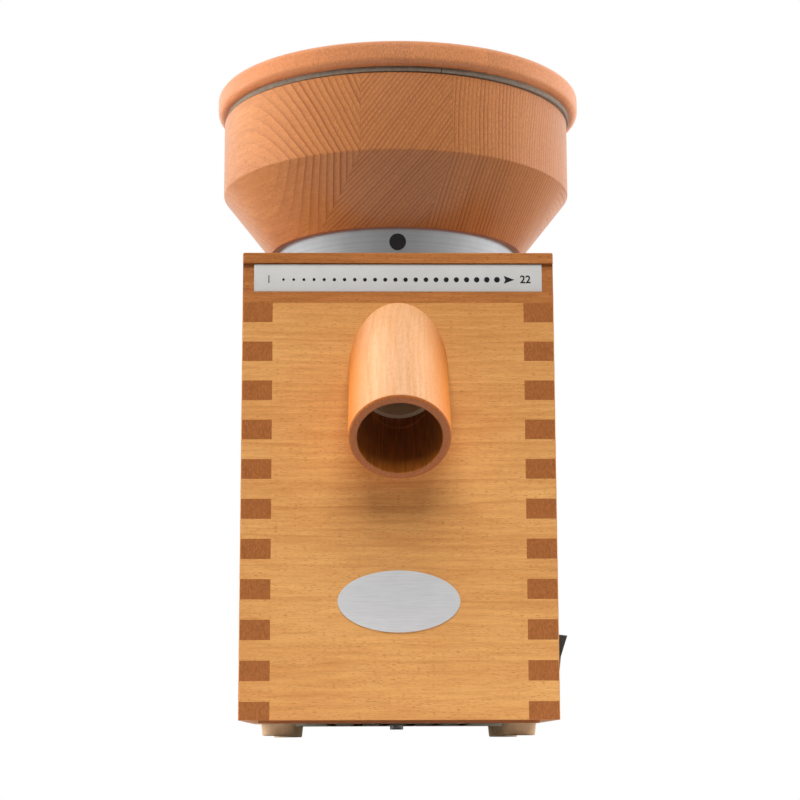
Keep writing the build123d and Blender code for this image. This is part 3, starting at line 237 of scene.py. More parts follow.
def beech(name, fibre, light, dark, end, boards, centre=(0, 0, 0), lines=0.3, sway=14.0, ends_from=0.35,
          ends_to=0.98, flecks=0.7, lengthways=1.0, gloss=0.42, shine=0.30, wax=0.0, bore=None, flank_shade=None):
    """Oiled beech as one solid: rings round the heart, with fibres and dark flecks along it.

    The boards are laid side by side across the fibre.  Each has the place of its edge, its
    heart across and up, the width of its rings and its tint, in millimetres from the centre.
    Wax is a thin glossy coat.  A bore is the place and way of its axis and its radius: its wall
    gets painted shade, a darker brown.  Flanks are painted shade: a deeper colour for what faces
    left and right.
    """
    material, tree, shader = new_material(name)
    brown = (0.60 * dark[0], 0.44 * dark[1], 0.40 * dark[2], 1)
    turn = Vector(fibre).rotation_difference(Vector((1, 0, 0)))
    angles = tuple(turn.to_euler())
    back = turn @ (Vector(centre) * -MILLIMETRES)
    source = tree.nodes.new("ShaderNodeTexCoord").outputs
    local = add(tree, "ShaderNodeMapping", source["Object"], tuple(back), angles, (MILLIMETRES,) * 3)
    facing = add(tree, "ShaderNodeMapping", source["Normal"], None, angles, vector_type="VECTOR")

    # Each board has its own heart, which the rings go round, and its own stretch of the noise.
    across = add(tree, "ShaderNodeSeparateXYZ", local, out=1)
    heart_across, heart_up, ring, tint, seam = glued_up(tree, across, boards)
    heart = add(tree, "ShaderNodeCombineXYZ", 0.0, heart_across, heart_up)
    stretch = add(tree, "ShaderNodeCombineXYZ", sums(tree, "MULTIPLY", heart_up, 7.3))
    local = vector_sums(tree, "ADD", local, stretch)
    spoke = vector_sums(tree, "MULTIPLY", vector_sums(tree, "SUBTRACT", local, heart), (0, 1, 1))
    radius = vector_sums(tree, "LENGTH", spoke, out=1)

    # Layers of noise, from slow drifts along the board to its hairs, flecks and pores.
    def layer(scale, detail=2.0, rough=0.5):
        return cloud(tree, local, scale, detail, rough)

    slow = layer((0.006, 0.020, 0.020))
    quick = layer((0.03, 0.22, 0.22))
    streak = layer((0.040, 0.55, 0.55), 3.0, 0.65)
    hair = layer((0.16, 2.1, 2.1), 2.0, 0.65)
    fleck = layer((0.42, 2.6, 2.6), 1.0)
    speck = layer((0.9, 2.6, 0.7), 3.0, 0.65)

    # The years' rings, with a line of late wood that fades where the face lies flat on them.
    wave = sums(tree, "MULTIPLY_ADD", slow, sway, radius)
    wave = sums(tree, "MULTIPLY_ADD", quick, sway / 10, wave)
    years = sums(tree, "DIVIDE", wave, ring)
    year = add(tree, "ShaderNodeTexWhiteNoise", None, sums(tree, "FLOOR", years), noise_dimensions="1D")
    lies = sums(tree, "ABSOLUTE", add(tree, "ShaderNodeSeparateXYZ", facing))
    flat = vector_sums(tree, "DOT_PRODUCT", vector_sums(tree, "NORMALIZE", spoke), facing, out=1)
    flat = spread(tree, sums(tree, "ABSOLUTE", flat), 0.86, 0.99, 1.0, 0.15)
    late = sums(tree, "POWER", sums(tree, "FRACT", years), 3.2)
    late = sums(tree, "MULTIPLY", late, spread(tree, year, 0.0, 1.0, 0.5, 1.0))
    late = sums(tree, "MULTIPLY", late, sums(tree, "MULTIPLY", flat, lines))
    late = sums(tree, "MULTIPLY", late, spread(tree, lies, 0.05, 0.5, lengthways, 1.0))

    # Side grain: bands and streaks of two tones, with dark flecks and fine hairs.
    band = sums(tree, "MULTIPLY_ADD", year, 0.16, spread(tree, slow, 0.3, 0.7, 0.0, 0.45))
    band = sums(tree, "ADD", sums(tree, "MULTIPLY_ADD", spread(tree, streak, 0.30, 0.70), 0.42, band), tint)
    side = mixed(tree, band, light, dark)
    # Painted shade: faces turned left and right are mixed toward a deeper colour.
    if flank_shade:
        flank_shade_mask = sums(tree, "ABSOLUTE", add(tree, "ShaderNodeSeparateXYZ", source["Normal"]))
        side = mixed(tree, spread(tree, flank_shade_mask, 0.45, 0.95), side, flank_shade)
    dashes = spread(tree, quick, 0.35, 0.6, 0.2, flecks)
    fleck = sums(tree, "MULTIPLY", spread(tree, fleck, 0.57, 0.70), dashes)
    side = mixed(tree, fleck, side, brown)
    side = mixed(tree, spread(tree, hair, 0.42, 0.70, 0.0, 0.16), side, brown)

    # End grain where the fibre is cut across, speckled with pores.
    pores = sums(tree, "ADD", spread(tree, speck, 0.34, 0.66), tint)
    ends = mixed(tree, pores, end, shade(end, 0.55))
    wood = mixed(tree, spread(tree, lies, ends_from, ends_to), side, ends)
    wood = mixed(tree, late, wood, brown)
    wood = mixed(tree, seam, wood, shade(end, 0.4))
    # Painted shade on the wall of a bore.
    if bore:
        wood = bored(tree, source["Object"], wood, *bore)

    tree.links.new(wood, shader.inputs["Base Color"])
    tree.links.new(spread(tree, hair, 0.3, 0.7, gloss - 0.05, gloss + 0.10), shader.inputs["Roughness"])
    relief = sums(tree, "MULTIPLY_ADD", fleck, -0.8, hair)
    tree.links.new(add(tree, "ShaderNodeBump", 0.2, 0.00005, 0.1, relief), shader.inputs["Normal"])
    shader.inputs["Specular IOR Level"].default_value = shine
    shader.inputs["Coat Weight"].default_value = wax
    shader.inputs["Coat Roughness"].default_value = 0.3
    return material


MILLIMETRES = 1000
LIGHT_WOOD = tone(242, 184, 112)
DARK_WOOD = tone(205, 136, 72)
END_GRAIN = tone(186, 114, 60)
# A darker brown painted on bore walls as painted shade.
PAINTED_BORE_SHADE = tone(184, 104, 36)
SPOUT_WAY = Vector((0, -math.sqrt(0.5), -math.sqrt(0.5)))
# The spout's outer and bore radii, and how far past the bore's wall the painted shade reaches.
SPOUT_R, SPOUT_BORE_R, BORE_SHADE_MARGIN = 0.0244, 0.02015, 0.0012

spout_low, spout_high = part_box("spout")
spout_middle = (spout_low + spout_high) / 2
SPOUT_START = Vector((spout_middle.x, spout_high.y, spout_high.z - SPOUT_R / math.sqrt(0.5)))
spout_bore = (SPOUT_START, SPOUT_WAY, SPOUT_BORE_R)

# The front panel's hole for the spout gets the same painted shade on its wall as the spout's bore.
for name, fibre, heart in (
    ("front_panel", (1, 0, 0), (-150, -75, 3.4)), ("back_panel", (1, 0, 0), (160, 60, 3.2)),
    ("left_panel", (0, 1, 0), (160, 80, 3.0)), ("right_panel", (0, 1, 0), (-150, 110, 3.1)),
    ("corner_blocks", (0, 0, 1), (90, 40, 3.0)),
):
    dress(beech(name.replace("_", " "), fibre, LIGHT_WOOD, DARK_WOOD, END_GRAIN, [(0, *heart, 0)], lines=0.18,
                flecks=0.6, bore=spout_bore if name == "front_panel" else None), name)

# ---- Top board ---------------------------------------------------------------------------
# One thick board of solid beech, a little redder than the panels it lies on.  Its fibre runs
# from side to side, and a groove is planed along its front for the scale strip.
dress(beech("top board", (1, 0, 0), tone(212, 139, 78), tone(152, 88, 38), END_GRAIN, [(0, 20, 400, 1.9, 0)],
            lines=0.25), "top_board")


# ---- Base plate, feet and their screws ---------------------------------------------------
# A thin lacquered plate with air slots, coloured brown where its faces stand upright, and four
# rubber feet turned from one shape, each held by a pan-head screw in its recess.

def matter(name, light, dark, grain, metal=0.0, rough=(0.35, 0.5), relief=0.15, fine=(900,) * 3, share=0.35):
    """A material of two tones: a drift at one scale, and a fine grain that has this share of the mix."""
    material, tree, shader = new_material(name)
    source = add(tree, "ShaderNodeTexCoord", out=3)
    drift = cloud(tree, source, grain, 3.0)
    dust = cloud(tree, source, fine)
    blend = sums(tree, "MULTIPLY_ADD", spread(tree, dust, 0.3, 0.7), share, sums(
        tree, "MULTIPLY", spread(tree, drift, 0.3, 0.7), 1 - share))
    tree.links.new(mixed(tree, blend, light, dark), shader.inputs["Base Color"])
    tree.links.new(spread(tree, blend, 0.1, 0.9, *rough), shader.inputs["Roughness"])
    tree.links.new(add(tree, "ShaderNodeBump", relief, 0.00004, 0.1, dust), shader.inputs["Normal"])
    shader.inputs["Metallic"].default_value = metal
    return material


def placed(name, mesh, material, body, *stands_for, slot=None, sharp=35):
    """A finished piece from its mesh, riding on a body and standing for CAD nodes."""
    piece = bpy.data.objects.new(name, mesh)
    scene.collection.objects.link(piece)
    mesh.materials.clear()
    mesh.materials.append(material)
    mesh.shade_smooth()
    mesh.set_sharp_from_angle(angle=math.radians(sharp))
    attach(piece, body)
    if stands_for:
        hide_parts(*stands_for)
    return piece


def from_bmesh(name, shape):
    """The mesh of a bmesh, with its normals outwards."""
    bmesh.ops.recalc_face_normals(shape, faces=shape.faces)
    mesh = bpy.data.meshes.new(name)
    shape.to_mesh(mesh)
    shape.free()
    return mesh


def rounded(points, steps=6):
    """An outline whose corners are rounded: each point is (radius, height, rounding)."""
    outline = []
    count = len(points)
    for i, (r, z, rounding) in enumerate(points):
        here = Vector((r, z))
        if not rounding:
            outline.append(here)
            continue
        before = (Vector(points[i - 1][:2]) - here).normalized()
        after = (Vector(points[(i + 1) % count][:2]) - here).normalized()
        half = before.angle(after) / 2
        reach = rounding / math.tan(half)
        centre = here + (before + after).normalized() * rounding / math.sin(half)
        start, end = here + before * reach - centre, here + after * reach - centre
        for step in range(steps + 1):
            outline.append(centre + start.lerp(end, step / steps).normalized() * rounding)
    return outline


def skinned(shape, columns):
    """Faces between each column of points and the next.  Where points coincide, a face has fewer."""
    for column, after in zip(columns, columns[1:]):
        for j in range(len(column)):
            k = (j + 1) % len(column)
            corners = dict.fromkeys((column[j], after[j], after[k], column[k]))
            if len(corners) > 2:
                shape.faces.new(list(corners))


def lathe(name, outline, centre=(0, 0), steps=160):
    """A turned piece from its closed half section of (radius, height) points."""
    shape = bmesh.new()
    columns = []
    poles = {}
    for i in range(steps):
        angle = math.tau * i / steps
        column = []
        for j, (r, z) in enumerate(outline):
            if j in poles:
                column.append(poles[j])
                continue
            spot = (centre[0] + r * math.cos(angle), centre[1] + r * math.sin(angle), z)
            column.append(shape.verts.new(spot))
            if r < 1e-7:
                poles[j] = column[-1]
        columns.append(column)
    skinned(shape, columns + columns[:1])
    return from_bmesh(name, shape)


def prism(name, outline, low, high, edge=0.0):
    """A flat piece with this outline, upright on its front, between two depths along Y."""
    shape = bmesh.new()
    face = shape.faces.new([shape.verts.new((x, low, z)) for x, z in outline])
    for raised in bmesh.ops.extrude_face_region(shape, geom=[face])["geom"]:
        if isinstance(raised, bmesh.types.BMVert):
            raised.co.y = high
    if edge:
        rim = [e for e in shape.edges if all(abs(v.co.y - low) < 1e-7 for v in e.verts)]
        bmesh.ops.bevel(shape, geom=rim, offset=edge, segments=3, profile=0.5, affect="EDGES")
    return from_bmesh(name, shape)


def settled(holder):
    """The plain mesh that a holder shows with its modifiers.  The holder is thrown away."""
    scene.collection.objects.link(holder)
    mesh = bpy.data.meshes.new_from_object(holder.evaluated_get(bpy.context.evaluated_depsgraph_get()))
    bpy.data.objects.remove(holder)
    return mesh


def new_tree(name, **inputs):
    """A Geometry Nodes tree with its named inputs.  Gives the tree and what feeds it."""
    tree = bpy.data.node_groups.new(name, "GeometryNodeTree")
    tree.interface.new_socket("Geometry", in_out="OUTPUT", socket_type="NodeSocketGeometry")
    tree.interface.new_socket("Base", in_out="INPUT", socket_type="NodeSocketGeometry")
    for label, kind in inputs.items():
        tree.interface.new_socket(label, in_out="INPUT", socket_type="NodeSocket" + kind)
    return tree, tree.nodes.new("NodeGroupInput").outputs


def close_tree(tree, geometry, finish):
    """Ends a tree in real geometry with its material."""
    whole = add(tree, "GeometryNodeRealizeInstances", geometry)
    whole = add(tree, "GeometryNodeSetMaterial", whole, None, finish)
    tree.links.new(whole, tree.nodes.new("NodeGroupOutput").inputs[0])


def grown(name, tree, base, **sizes):
    """The plain mesh that a tree grows on a base mesh."""
    holder = bpy.data.objects.new(name, base)
    growth = holder.modifiers.new(name, "NODES")
    growth.node_group = tree
    for item in tree.interface.items_tree:
        if item.in_out == "INPUT" and item.name in sizes:
            growth[item.identifier] = sizes[item.name]
    return settled(holder)


repeats, feeds = new_tree("repeats", Piece="Object", Over="Float", Seed="Int", Finish="Material")
piece = add(repeats, "GeometryNodeObjectInfo", feeds["Piece"], out=4)
spin = add(repeats, "FunctionNodeRandomValue", None, None, 0.0, math.tau, *[None] * 4, feeds["Seed"], out=1)
turn = add(repeats, "ShaderNodeCombineXYZ", feeds["Over"], 0.0, spin)
copies = add(repeats, "GeometryNodeInstanceOnPoints", feeds["Base"], None, piece, None, None, turn)
close_tree(repeats, copies, feeds["Finish"])


def repeated(name, mesh, places, finish, over=0.0, seed=1):
    """One mesh with a copy of a piece at each place, turned over or not and spun at random."""
    single = bpy.data.objects.new(name + "_one", mesh)
    scene.collection.objects.link(single)
    points = bpy.data.meshes.new(name + "_places")
    points.from_pydata(places, [], [])
    copies = grown(name, repeats, points, Piece=single, Over=over, Seed=seed, Finish=finish)
    bpy.data.objects.remove(single)
    return copies


def merged(name):
    """A CAD node's mesh as a bmesh, with its faces joined."""
    shape = bmesh.new()
    shape.from_mesh(nodes[name].data)
    bmesh.ops.remove_doubles(shape, verts=shape.verts, dist=1e-6)
    return shape


def solids_of(name):
    """The low and high corners of each separate solid of a CAD node."""
    shape = merged(name)
    boxes = []
    for first in shape.verts:
        if first.tag:
            continue
        first.tag = True
        reached, waiting = [], [first]
        while waiting:
            vert = waiting.pop()
            reached.append(vert.co.copy())
            for edge in vert.link_edges:
                other = edge.other_vert(vert)
                if not other.tag:
                    other.tag = True
                    waiting.append(other)
        boxes.append([Vector([end(point[i] for point in reached) for i in range(3)]) for end in (min, max)])
    shape.free()
    return sorted(boxes, key=lambda box: (round(box[0].y, 5), round(box[0].x, 5)))


def over(low, high, height):
    """The point over the middle of a box at this height."""
    return (low.x + high.x) / 2, (low.y + high.y) / 2, height


THREAD_PITCH, THREAD_ROOT = 0.0012, 0.8
RECESS_HALF, RECESS_REACH, RECESS_DEEP = 0.13, 0.60, 0.45
QUARTER_TURN = Matrix.Rotation(math.pi / 2, 4, "X")


def screw(name, length, shank, head, rise):
    """A screw with a cross recess, its seat at height 0 and its tip down: sunk, or with a pan head."""
    if rise:
        outline = rounded([(0, rise, 0), (head, rise, 0.6 * rise), (head, 0, 0.0001), (shank, 0, 0)])
        depth = 0.0
    else:
        outline = [(0, 0), (head, 0), (shank, shank - head)]
        depth = head - shank
    root = THREAD_ROOT * shank
    for i in range(int((length - depth) / THREAD_PITCH)):
        ridge = -depth - i * THREAD_PITCH
        outline += [(r, ridge - part * THREAD_PITCH) for r, part in ((root, 0.3), (shank, 0.55), (root, 0.8))]
    outline += [(root, -length), (0, -length)]
    half, reach = RECESS_HALF * head, RECESS_REACH * head
    cross = []
    for c, s in ((1, 0), (0, 1), (-1, 0), (0, -1)):
        cross += [(x * c - z * s, x * s + z * c) for x, z in ((half, half), (half, reach), (-half, reach))]
    cutter = prism(name + "_cross", cross, rise - RECESS_DEEP * head, rise + 0.001)
    cutter.transform(QUARTER_TURN)
    tool = bpy.data.objects.new(name + "_cross", cutter)
    scene.collection.objects.link(tool)
    body = bpy.data.objects.new(name, lathe(name, outline, steps=28))
    recess = body.modifiers.new("recess", "BOOLEAN")
    recess.object = tool
    mesh = settled(body)
    bpy.data.objects.remove(tool)
    return mesh


def screws(node, body, heads_up, shank, head, rise=0.0, seed=1):
    """Cross-recess screws in the place of a CAD node's plain ones."""
    boxes = solids_of(node)
    low, high = boxes[0]
    seat = high.z - rise if heads_up else low.z + rise
    places = [over(*box, seat) for box in boxes]
    name = node + "_cross_head"
    single = screw(name, high.z - low.z - rise, shank, head, rise)
    mesh = repeated(name, single, places, zinc, 0.0 if heads_up else math.pi, seed)
    placed(name, mesh, zinc, body, node, slot="zinc_steel")


SCREW_R, SCREW_HEAD_R, SCREW_HEAD = 0.00175, 0.0035, 0.0022
FOOT_TOP_R, FOOT_BOTTOM_R, FOOT_ROUND = 0.00825, 0.00765, 0.0008
FOOT_RECESS_R, FOOT_RECESS, FOOT_HOLE_R = 0.0042, 0.0032, 0.00185
SHEET_EDGE = shade(END_GRAIN, 0.8)

zinc = matter("zinc", tone(196, 198, 200), tone(150, 152, 156), (160,) * 3, metal=1.0, rough=(0.28, 0.45))
rubber = matter("rubber", tone(214, 186, 152), tone(188, 160, 128), (90,) * 3, rough=(0.6, 0.8), relief=0.3)
lacquered = matter("lacquered sheet", tone(240, 232, 212), tone(222, 212, 190), (40, 400, 40),
                   rough=(0.45, 0.6))
# The plate's upright faces are coloured brown, taken from the end grain's colour.
tree = lacquered.node_tree
colour = tree.nodes["Principled BSDF"].inputs["Base Color"]
upwards = add(tree, "ShaderNodeSeparateXYZ", add(tree, "ShaderNodeTexCoord", out=1), out=2)
level = spread(tree, sums(tree, "ABSOLUTE", upwards), 0.3, 0.7)
tree.links.new(mixed(tree, level, SHEET_EDGE, colour.links[0].from_socket), colour)
dress(lacquered, "base_plate")

feet = [f"foot_{end}_{side}" for end in ("front", "back") for side in ("left", "right")]
foot_boxes = [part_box(foot) for foot in feet]
foot_top = foot_boxes[0][1].z
foot_outline = rounded([
    (FOOT_HOLE_R, foot_top, 0), (FOOT_TOP_R, foot_top, 0.0002), (FOOT_BOTTOM_R, 0, FOOT_ROUND),
    (FOOT_RECESS_R, 0, 0.0004), (FOOT_RECESS_R, FOOT_RECESS, 0), (FOOT_HOLE_R, FOOT_RECESS, 0),
])
foot_mesh = lathe("foot", foot_outline, steps=64)
rubber_feet = repeated("rubber_feet", foot_mesh, [over(*box, 0) for box in foot_boxes], rubber)
placed("rubber_feet", rubber_feet, rubber, "housing", *feet, slot="rubber")
screws("foot_screws", "housing", False, SCREW_R, SCREW_HEAD_R, SCREW_HEAD, seed=3)


# ---- Motor -------------------------------------------------------------------------------
# A steel plate on the corner blocks carries the motor: a stack of laminations between two
# cast bells, copper windings, and a rotor with its shaft, bearings and fan.

AXIS = Vector(over(*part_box("hopper"), 0))


def turned(name, light, dark, metal=1.0, rough=(0.25, 0.4), lines=(2400, 2400), relief=0.1, share=0.65):
    """A round piece as the lathe, a winder or a stack leaves it: fine rings round the upright axis."""
    material, tree, shader = new_material(name)
    source = vector_sums(tree, "SUBTRACT", add(tree, "ShaderNodeTexCoord", out=3), tuple(AXIS))
    out = vector_sums(tree, "LENGTH", vector_sums(tree, "MULTIPLY", source, (1, 1, 0)), out=1)
    up = add(tree, "ShaderNodeSeparateXYZ", source, out=2)
    where = add(tree, "ShaderNodeCombineXYZ", sums(tree, "MULTIPLY", out, lines[0]), 0.0,
                sums(tree, "MULTIPLY", up, lines[1]))
    rings = spread(tree, add(tree, "ShaderNodeTexNoise", where, None, 1.0, 2.0, 0.6), 0.3, 0.7)
    patches = cloud(tree, source, (70,) * 3, 3.0)
    blend = sums(tree, "MULTIPLY_ADD", rings, share, sums(
        tree, "MULTIPLY", spread(tree, patches, 0.3, 0.7), 1 - share))
    tree.links.new(mixed(tree, blend, light, dark), shader.inputs["Base Color"])
    tree.links.new(spread(tree, blend, 0.1, 0.9, *rough), shader.inputs["Roughness"])
    tree.links.new(add(tree, "ShaderNodeBump", relief, 0.00004, 0.1, rings), shader.inputs["Normal"])
    shader.inputs["Metallic"].default_value = metal
    return material


cast = matter("cast aluminium", tone(186, 187, 186), tone(150, 151, 151), (120,) * 3, metal=0.9,
              rough=(0.45, 0.6), relief=0.4)
bright_steel = turned("bright steel", tone(206, 206, 208), tone(172, 173, 176), rough=(0.15, 0.3))
dress(zinc, "motor_plate", "motor_bolts")
dress(cast, "upper_end_bell", "lower_end_bell")
dress(turned("laminations", tone(120, 124, 130), tone(66, 69, 75), metal=0.8, rough=(0.4, 0.55),
             lines=(0, 2600), relief=0.5, share=0.85), "stator_core", "rotor_core")
dress(turned("copper wire", tone(214, 122, 74), tone(136, 66, 36), metal=0.85, lines=(1500, 1500), relief=0.9,
             share=0.85), "stator_windings")
dress(bright_steel, "motor_shaft", "upper_bearing_outer", "upper_bearing_inner", "lower_bearing_outer",
      "lower_bearing_inner")
dress(matter("fan plastic", tone(66, 96, 150), tone(48, 74, 122), (80,) * 3), "cooling_fan")
screws("plate_screws", "housing", True, SCREW_R, SCREW_HEAD_R, seed=5)

# ---- Capacitor and terminals -------------------------------------------------------------
# The run capacitor is a drawn can with two tags, held on the base plate by a bent band.  The
# leads meet in a row of screw terminals on the left board.
dress(matter("drawn can", tone(206, 207, 208), tone(176, 177, 179), (40, 300, 300), metal=0.9,
             rough=(0.3, 0.45), relief=0.1, fine=(90, 2600, 2600)), "capacitor")
dress(zinc, "capacitor_clamp", "clamp_screw")
dress(matter("terminal plastic", tone(236, 236, 230), tone(214, 214, 208), (200,) * 3, rough=(0.3, 0.45)),
      "terminal_block")


# ---- Switch ------------------------------------------------------------------------------
# A rocker switch clipped into the right board.  Its rocker is moulded with eased edges and
# printed with the two usual marks: a stroke for on, above, and a ring for off, below.

def eased(name, width):
    """A copy of a CAD node's mesh with its sharp edges rounded over."""
    shape = merged(name)
    bmesh.ops.dissolve_limit(shape, angle_limit=math.radians(2), verts=shape.verts, edges=shape.edges)
    edges = [e for e in shape.edges if e.is_manifold and e.calc_face_angle() > math.radians(40)]
    bmesh.ops.bevel(shape, geom=edges, offset=width, segments=2, profile=0.5, affect="EDGES",
                    clamp_overlap=True)
    return from_bmesh(name + "_eased", shape)


ROCKER_RISE, ROCKER_HALF, ROCKER_SLOPE, ROCKER_TILT = 0.0059, 0.011, 6.0, 12.0
ROCKER_EASE = 0.0005
MARK_HIGH, MARK_STROKE, MARK_THICK = 0.0034, 0.0005, 0.00012

black_plastic = matter("black plastic", tone(26, 25, 27), tone(16, 15, 17), (200,) * 3, rough=(0.5, 0.65),
                       relief=0.3)
# The rocker is the switch's black plastic, painted a lighter grey as a painted reflection of the white room.
sheen_lit_rocker_plastic = matter("rocker plastic with painted sheen", tone(66, 63, 60), tone(50, 48, 46), (200,) * 3, rough=(0.3, 0.42),
                        relief=0.3)
white_print = matter("white print", tone(236, 236, 232), tone(214, 214, 210), (500,) * 3, rough=(0.5, 0.6))
dress(black_plastic, "switch_body")
placed("rocker_cap", eased("rocker", ROCKER_EASE), sheen_lit_rocker_plastic, "rocker", "rocker", slot="black_plastic",
       sharp=50)

half_stroke = MARK_STROKE / 2
stroke = [(x * half_stroke, z * MARK_HIGH / 2) for x, z in SQUARE]
stroke_mark = prism("stroke_mark", stroke, -MARK_THICK, MARK_THICK)
ring_middle = MARK_HIGH / 2 - half_stroke
ring_mark = lathe("ring_mark", [(ring_middle + x * half_stroke, z * MARK_THICK) for x, z in SQUARE], steps=48)
ring_mark.transform(QUARTER_TURN)
joints = {joint["name"]: joint for joint in frame["joints"]}
pivot = joints["rocker_press"]["pos_m"]
face_out = ROCKER_RISE + ROCKER_HALF / 2 * math.tan(math.radians(ROCKER_SLOPE))
for name, mark, end in (("switch_stroke", stroke_mark, 1), ("switch_ring", ring_mark, -1)):
    mark.transform(
        Matrix.Translation(pivot) @ Matrix.Rotation(math.radians(ROCKER_TILT), 4, "Y")
        @ Matrix.Translation((face_out, 0, end * ROCKER_HALF / 2))
        @ Matrix.Rotation(math.radians(end * ROCKER_SLOPE), 4, "Y") @ Matrix.Rotation(math.pi / 2, 4, "Z")
    )
    placed(name, mark, white_print, "rocker")

# ---- Cord gland --------------------------------------------------------------------------
# The bush through which the mains cord enters the back board.  It is moulded in the same black
# plastic as the switch, and a nut holds it from inside.
dress(black_plastic, "cord_gland", "gland_nut")

# ---- Grinding chamber --------------------------------------------------------------------
# A moulded pot screwed under the top board, with a felt seal round the carrier's hub.  The
# carrier is a casting with steel blades, on a cross pin, a nut and a coil spring.
NUT_EASE = 0.0003

pot_plastic = matter("pot plastic", tone(226, 214, 190), tone(204, 192, 168), (90,) * 3, rough=(0.4, 0.55),
                     relief=0.2)
felt = matter("felt", tone(158, 144, 128), tone(114, 101, 88), (420,) * 3, rough=(0.9, 1.0), relief=0.8,
              fine=(2600,) * 3, share=0.5)
felt.node_tree.nodes["Principled BSDF"].inputs["Sheen Weight"].default_value = 0.15
dress(pot_plastic, "chamber_pot")
dress(felt, "shaft_seal")
dress(cast, "stone_carrier")
dress(bright_steel, "drive_pin")
dress(matter("blade steel", tone(200, 200, 202), tone(166, 167, 170), (60, 60, 600), metal=1.0,
             rough=(0.25, 0.4)), "wiper_blades")
spring = placed("spring_coil", from_bmesh("spring_coil", merged("carrier_spring")), bright_steel, "rotor",
                "carrier_spring", slot="shaft_steel")
low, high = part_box("carrier_spring")
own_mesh(spring)
placed("carrier_nut_eased", eased("carrier_nut", NUT_EASE), zinc, "rotor", "carrier_nut", slot="zinc_steel")
screws("pot_screws", "housing", False, SCREW_R, SCREW_HEAD_R, seed=7)


# ---- Millstones --------------------------------------------------------------------------
# Two rings of corundum grit in a ceramic bond, cast and dressed flat.  The upper one sits in
# the stone holder and the lower one on the carrier.

def grit(name, light, dark, pit, grains):
    """Grains of many pale tones with dark pits between them."""
    material, tree, shader = new_material(name)
    where = vector_sums(tree, "MULTIPLY", add(tree, "ShaderNodeTexCoord", out=3), (grains,) * 3)
    cells = tree.nodes.new("ShaderNodeTexVoronoi")
    cells.inputs["Scale"].default_value = 1.0
    tree.links.new(where, cells.inputs["Vector"])
    each = add(tree, "ShaderNodeSeparateColor", cells.outputs["Color"])
    colour = mixed(tree, each, light, dark)
    deep = spread(tree, cells.outputs["Distance"], 0.45, 0.75)
    tree.links.new(mixed(tree, deep, colour, pit), shader.inputs["Base Color"])
    tree.links.new(spread(tree, each, 0.0, 1.0, 0.75, 0.95), shader.inputs["Roughness"])
    tree.links.new(add(tree, "ShaderNodeBump", 0.7, 0.0002, 0.1, sums(tree, "SUBTRACT", 1.0, deep)),
                   shader.inputs["Normal"])
    return material


dress(grit("millstone", tone(232, 226, 212), tone(188, 180, 164), tone(120, 112, 100), 1500), "runner_stone",
      "fixed_stone")

# ---- Flour chute and spout ---------------------------------------------------------------
# The chute is a plastic tube from the pot.  The spout is a tube of beech turned on the lathe,
# cut upright at the back and glued to the front board, its rim rounded outside.
SPOUT_RISE = Vector((0, -math.sqrt(0.5), math.sqrt(0.5)))
SPOUT_REACH, SPOUT_RIM_ROUND, SPOUT_RIM_EASE = 0.0559, 0.0014, 0.0003
SPOUT_STEPS, RIM_STEPS = 128, 6

dress(matter("chute plastic", tone(252, 234, 202), tone(238, 218, 184), (70,) * 3, rough=(0.4, 0.55),
             relief=0.2), "flour_chute")


def tube_section(angle):
    """Distances along and out from the axis, from the glued face out to the rim and back in."""
    rise = math.sin(angle)
    points = [(-SPOUT_R * rise, SPOUT_R)]
    for step in range(RIM_STEPS + 1):
        turn = math.pi / 2 * step / RIM_STEPS
        along = SPOUT_REACH - SPOUT_RIM_ROUND * (1 - math.sin(turn))
        points.append((along, SPOUT_R - SPOUT_RIM_ROUND * (1 - math.cos(turn))))
    points.append((SPOUT_REACH, SPOUT_BORE_R + SPOUT_RIM_EASE))
    points.append((SPOUT_REACH - SPOUT_RIM_EASE, SPOUT_BORE_R))
    points.append((-SPOUT_BORE_R * rise, SPOUT_BORE_R))
    return points


shape = bmesh.new()
columns = []
for i in range(SPOUT_STEPS):
    angle = math.tau * i / SPOUT_STEPS
    out = Vector((1, 0, 0)) * math.cos(angle) + SPOUT_RISE * math.sin(angle)
    points = [SPOUT_START + SPOUT_WAY * along + out * radius for along, radius in tube_section(angle)]
    columns.append([shape.verts.new(point) for point in points])
skinned(shape, columns + columns[:1])
# The spout's bore wall gets painted shade. Its faces turned left and right are painted a deeper orange, also
# painted shade.
spout_wood = beech("spout wood", SPOUT_WAY, tone(255, 208, 166), tone(238, 172, 112), tone(198, 110, 42),
                   [(0, 60, 40, 2.6, 0)], centre=SPOUT_START, ends_from=0.02, ends_to=0.45, lines=0.2,
                   flecks=0.4, gloss=0.36, shine=0.5, bore=spout_bore, flank_shade=tone(216, 127, 52))
placed("spout_tube", from_bmesh("spout_tube", shape), spout_wood, "housing", "spout", slot="beech")

# ---- Thread insert -----------------------------------------------------------------------
# A ring of ivory plastic let into the top board with four small screws.  Its thread carries
# the hopper, and a felt ring keeps the flour in.
SMALL_SCREW_R, SMALL_HEAD_R = 0.00125, 0.0025
ivory = matter("ivory plastic", tone(238, 232, 214), tone(220, 212, 192), (90,) * 3, relief=0.2)
dress(ivory, "thread_insert")
dress(felt, "thread_felt")
screws("insert_screws", "housing", True, SMALL_SCREW_R, SMALL_HEAD_R, seed=9)

